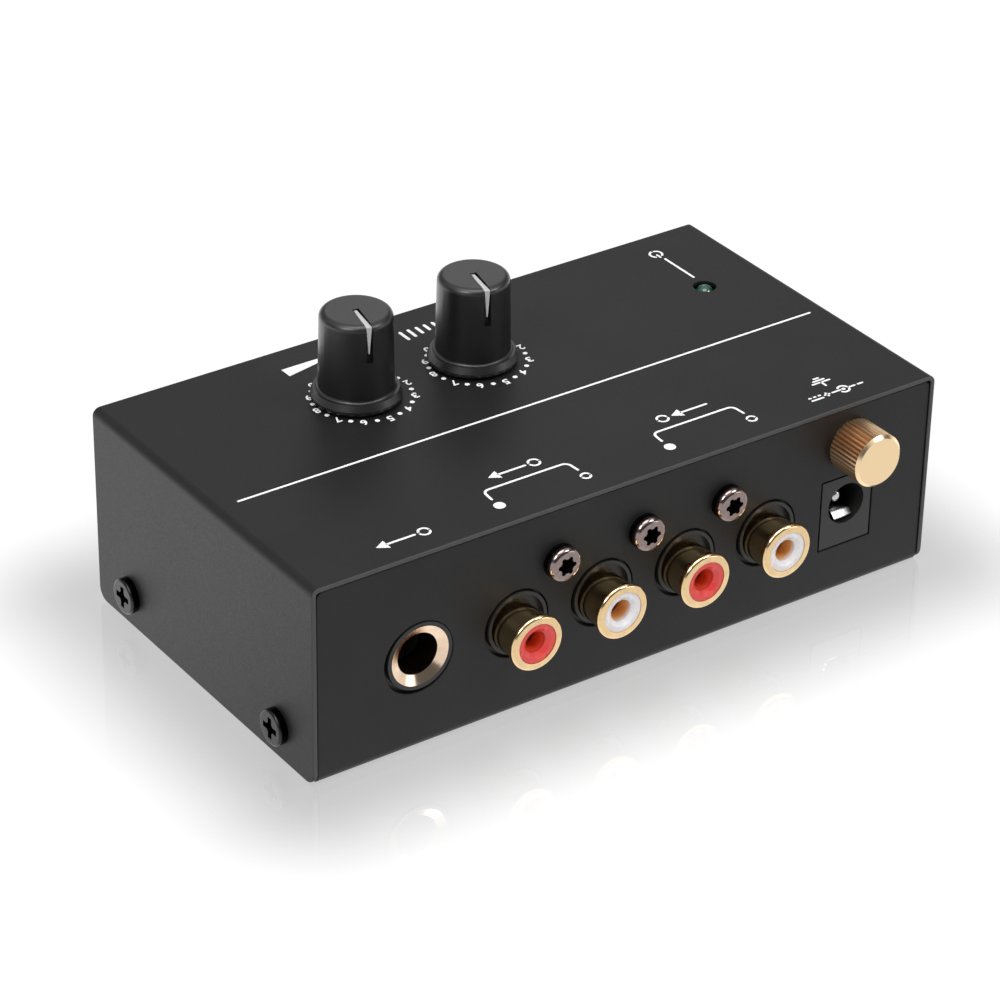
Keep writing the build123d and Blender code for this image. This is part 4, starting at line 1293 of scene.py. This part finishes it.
@dataclass
class PowerSocket:
    """The DC socket with its centre pin and spring."""

    part: PackedPart
    body: MouldedPlastic = MouldedPlastic(colour=(0.014, 0.014, 0.014), roughness=0.45)
    # The pin and the spring carry painted shade and a painted highlight.
    pin: SocketNickel = SocketNickel(
        highlight_colour=(0.6, 0.6, 0.6), shade_colour=(0.01, 0.01, 0.01), highlight_passage=(0.35, 0.6), roughness=0.14)
    spring: SocketNickel = SocketNickel(
        highlight_colour=(0.62, 0.62, 0.62), shade_colour=(0.01, 0.01, 0.01), highlight_passage=(-1.5, 1.0), roughness=0.3)

    def dress(self) -> None:
        """Give the socket its finishes."""
        self.part.dress("power_socket_body", self.body.material("power_socket_moulding"))
        for piece, metal, shade_round_axis in (("pin", self.pin, True), ("spring", self.spring, False)):
            node = f"power_socket_{piece}"
            nickel = metal.material(f"{piece}_nickel", self.part.middle(node), shade_round_axis)
            self.part.dress(node, nickel)


@dataclass
class GroundTerminal:
    """The knurled ground screw with its washer, nut and strap."""

    part: PackedPart
    # The root colour is painted shade between the knurl's ridges.
    screw: KnurledBrass = KnurledBrass(
        face=(0.98, 0.74, 0.45), knurl=(1.0, 0.72, 0.44), root=(0.62, 0.33, 0.18))
    washer: TurnedMetal = TurnedMetal(colour=(0.92, 0.62, 0.36), roughness=0.25)
    nickel: StampedMetal = StampedMetal(colour=(0.62, 0.60, 0.56), roughness=0.3)

    def dress(self) -> None:
        """Give the terminal its finishes."""
        screw, washer = "ground_thumb_screw", "ground_washer"
        brass = self.screw.material("ground_brass", self.part.outer_end(screw))
        self.part.dress(screw, brass)
        self.part.dress(washer, self.washer.material("washer_brass", self.part.middle(screw)))
        nickel = self.nickel.material("ground_nickel")
        for node in ("ground_nut", "ground_strap"):
            self.part.dress(node, nickel)


@dataclass
class Electronics:
    """The circuit board, what stands on it and what holds it."""

    part: PackedPart
    board: BoardLaminate = BoardLaminate(mask=(0.006, 0.07, 0.03), track=(0.02, 0.14, 0.06))
    standoff: StampedMetal = StampedMetal(colour=(0.66, 0.62, 0.52), roughness=0.35)
    screw: StampedMetal = StampedMetal(colour=(0.62, 0.64, 0.66), roughness=0.3)
    mouldings: dict[str, MouldedPlastic] = field(default_factory=lambda: {
        "op_amps": MouldedPlastic(colour=(0.02, 0.02, 0.022), roughness=0.55),
        "electrolytic_capacitors": MouldedPlastic(colour=(0.012, 0.02, 0.06), roughness=0.25),
        "film_capacitors": MouldedPlastic(colour=(0.32, 0.03, 0.02), roughness=0.22),
        "resistors": MouldedPlastic(colour=(0.10, 0.25, 0.42), roughness=0.3),
        "diode": MouldedPlastic(colour=(0.02, 0.02, 0.022), roughness=0.45),
        "voltage_regulator": MouldedPlastic(colour=(0.022, 0.022, 0.024), roughness=0.55),
    })

    def dress(self) -> None:
        """Give the board and its pieces their finishes."""
        self.part.dress("circuit_board", self.board.material("green_laminate"))
        self.part.dress("board_standoffs", self.standoff.material("standoff_nickel"))
        self.part.dress("board_screws", self.screw.material("board_screw_zinc"))
        for node, plastic in self.mouldings.items():
            self.part.dress(node, plastic.material(f"{node}_finish"))


# ---- Studio ---------------------------------------------------------------------------------
@dataclass(frozen=True)
class Softbox:
    """A rectangular studio lamp."""

    name: str
    position: tuple[float, float, float]
    width: float
    height: float
    watts: float

    def build(self, target: Vector) -> None:
        """Hang the lamp and turn it to a target.

        Args:
            target: The point that it faces.
        """
        lamp = bpy.data.lights.new(self.name, "AREA")
        lamp.shape = "RECTANGLE"
        lamp.size, lamp.size_y = self.width * MM, self.height * MM
        lamp.energy = self.watts
        holder = bpy.data.objects.new(self.name, lamp)
        holder.location = Vector(self.position) * MM
        facing = (target - Vector(self.position)).to_track_quat("-Z", "Y")
        holder.rotation_euler = facing.to_euler()
        bpy.context.scene.collection.objects.link(holder)


@dataclass
class Studio:
    """White floor with a fading mirror image, a pale room and soft lamps."""

    part: PackedPart
    floor_size: float = 6000.0
    floor_drop: float = 0.1
    floor_glow: float = 0.935
    floor_seen_white: float = 0.085
    floor_white: float = 0.80
    floor_in_gloss: Span = (1.6, 0.76)  # its glow in reflections, at the front and behind
    mirror_strength: float = 0.45
    mirror_roughness: float = 0.02
    mirror_fade: Span = (2.0, 25.0)  # distances from the case
    wall: Span = (0.15, 0.12)  # brightness at the two ends of wall_sides
    wall_sides: Span = (-0.8, 0.5)  # the room's bands are parts of a direction, from -1 to 1
    wall_foot: Span = (0.06, 0.28)
    behind_camera: float = 0.12
    behind_band: Span = (0.6, 0.85)
    ceiling: float = 0.75
    ceiling_foot: Span = (0.56, 0.74)
    lamps: tuple[Softbox, ...] = (
        Softbox("key_softbox", (560, 230, 600), 280, 280, 2.6),
        Softbox("rear_softbox", (-450, 500, 640), 280, 240, 2.4),
        Softbox("overhead_softbox", (80, 120, 880), 600, 480, 3.2),
        Softbox("far_softbox", (-450, -630, 480), 300, 240, 0.30),
        Softbox("end_softbox", (450, -620, 460), 300, 260, 0.18),
        Softbox("low_softbox", (-479, 493, 118), 260, 150, 0.28),
    )

    def build(self) -> None:
        """Set up the room, the floor and the lamps."""
        self.room()
        self.floor()
        target = self.part.middle("top_cover")
        for lamp in self.lamps:
            lamp.build(target)
        bpy.context.scene.view_settings.view_transform = "Standard"

    def room(self) -> None:
        """Make the room white round the horizon, dim facing the sockets and bright overhead."""
        graph = RoomGraph("pale_room")
        parts = graph.parts(graph.node("TexCoord", {}).outputs["Generated"])
        behind = graph.smooth(parts["Y"], *self.behind_band)
        horizon = graph.between(behind, 1.0, self.behind_camera, start=0.0, end=1.0)
        wall = graph.between(parts["Y"], *self.wall, *self.wall_sides)
        sides = graph.passing(graph.smooth(parts["Z"], *self.wall_foot), horizon, wall)
        overhead = graph.smooth(parts["Z"], *self.ceiling_foot)
        lit = graph.passing(overhead, sides, self.ceiling)
        seen = graph.node("LightPath", {}).outputs["Is Camera Ray"]
        level = graph.math("MAXIMUM", lit, seen)
        graph.finish_room(graph.node("Background", {"Color": WHITE, "Strength": level}))

    def floor_material(self) -> bpy.types.Material:
        """Build a white floor that keeps the object's shadow and mirrors it faintly close by.

        Returns:
            The material.
        """
        low, high = self.part.low("chassis"), self.part.high("chassis")
        half = (high - low) / 2
        graph = ShaderGraph("white_floor")
        place = graph.place((low + high) / 2)
        aside = graph.node("VectorMath", {0: place}, operation="ABSOLUTE").outputs[0]
        edges = {0: aside, 1: (half.x, half.y, self.floor_size)}  # no height reaches the last
        beyond = graph.node("VectorMath", edges, operation="SUBTRACT").outputs[0]
        none_inside = {0: beyond, 1: (0, 0, 0)}
        outside = graph.node("VectorMath", none_inside, operation="MAXIMUM").outputs[0]
        far = graph.smooth(graph.length(outside), *self.mirror_fade)

        path = graph.node("LightPath", {}).outputs
        in_gloss = path["Is Glossy Ray"]
        seen_clear = graph.math("MAXIMUM", path["Is Camera Ray"], path["Is Transmission Ray"])
        seen = graph.math("MAXIMUM", seen_clear, in_gloss)
        gloss_glow = graph.between(graph.parts(place)["Y"], *self.floor_in_gloss,
                                   start=-half.y, end=2 * half.y)
        seen_glow = graph.math("MULTIPLY", seen_clear, self.floor_glow)
        strength = graph.math("MULTIPLY_ADD", in_gloss, gloss_glow, seen_glow)
        glow = graph.node("Emission", {"Color": WHITE, "Strength": strength})

        whites = (scaled(WHITE, self.floor_white), scaled(WHITE, self.floor_seen_white))
        white, dim = (graph.node("BsdfDiffuse", {"Color": colour}) for colour in whites)
        matt = graph.node("MixShader", {0: seen, 1: white.outputs[0], 2: dim.outputs[0]})
        lit = graph.node("AddShader", {0: matt.outputs[0], 1: glow.outputs[0]})
        mirror = graph.node("BsdfAnisotropic", {"Color": WHITE, "Roughness": self.mirror_roughness})
        near = graph.math("MULTIPLY", graph.math("SUBTRACT", 1.0, far), self.mirror_strength)
        share = graph.math("MULTIPLY", near, path["Is Camera Ray"])
        return graph.finish(
            graph.node("MixShader", {0: share, 1: lit.outputs[0], 2: mirror.outputs[0]}))

    def floor(self) -> None:
        """Lay the floor just under the object."""
        sheet = bpy.data.meshes.new("floor")
        reach = self.floor_size / 2 * MM
        drop = -self.floor_drop * MM
        sides = ((-reach, -reach), (reach, -reach), (reach, reach), (-reach, reach))
        sheet.from_pydata([(x, y, drop) for x, y in sides], [], [(0, 1, 2, 3)])
        sheet.materials.append(self.floor_material())
        floor = bpy.data.objects.new("floor", sheet)
        bpy.context.scene.collection.objects.link(floor)


@dataclass(frozen=True)
class Viewpoint:
    """A camera by its direction from the object, its distance and its lens."""

    azimuth: float = 144.68  # degrees, as the two below
    elevation: float = 30.92
    roll: float = 1.05
    distance: float = 559.85
    aside: float = 2.11
    above: float = -11.30
    lens: float = 139.19
    sensor: float = 36.0
    sees_from: float = 10.0
    sees_to: float = 20000.0

    def build(self) -> None:
        """Set up the camera."""
        azimuth, elevation, roll = map(math.radians, (self.azimuth, self.elevation, self.roll))
        right = Vector((math.cos(azimuth), math.sin(azimuth), 0))
        back = Vector((math.sin(azimuth) * math.cos(elevation),
                       -math.cos(azimuth) * math.cos(elevation), math.sin(elevation)))
        up = back.cross(right)
        rolled_right = right * math.cos(roll) + up * math.sin(roll)
        rolled_up = up * math.cos(roll) - right * math.sin(roll)
        place = (back * self.distance - rolled_right * self.aside - rolled_up * self.above) * MM
        turn = Matrix((rolled_right, rolled_up, back)).transposed().to_4x4()
        data = bpy.data.cameras.new("camera")
        data.lens = self.lens
        data.sensor_width = self.sensor
        data.clip_start, data.clip_end = self.sees_from * MM, self.sees_to * MM
        camera = bpy.data.objects.new("camera", data)
        camera.matrix_world = Matrix.Translation(place) @ turn
        bpy.context.scene.collection.objects.link(camera)
        bpy.context.scene.camera = camera


def main() -> None:
    """Build the finishes, screen print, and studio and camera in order."""
    logging.basicConfig(level=logging.INFO, format="%(message)s")
    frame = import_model()
    part = PackedPart(frame)
    for assembly in (Enclosure, Controls, PowerLamp, SocketRow,
                     PhoneJack, PowerSocket, GroundTerminal, Electronics):
        assembly(part).dress()
    ink = PrintedInk(colour=(0.90, 0.90, 0.90)).material("white_print")
    ScreenPrint(part, ink).build()
    Studio(part).build()
    Viewpoint().build()


if __name__ == "__main__":
    main()
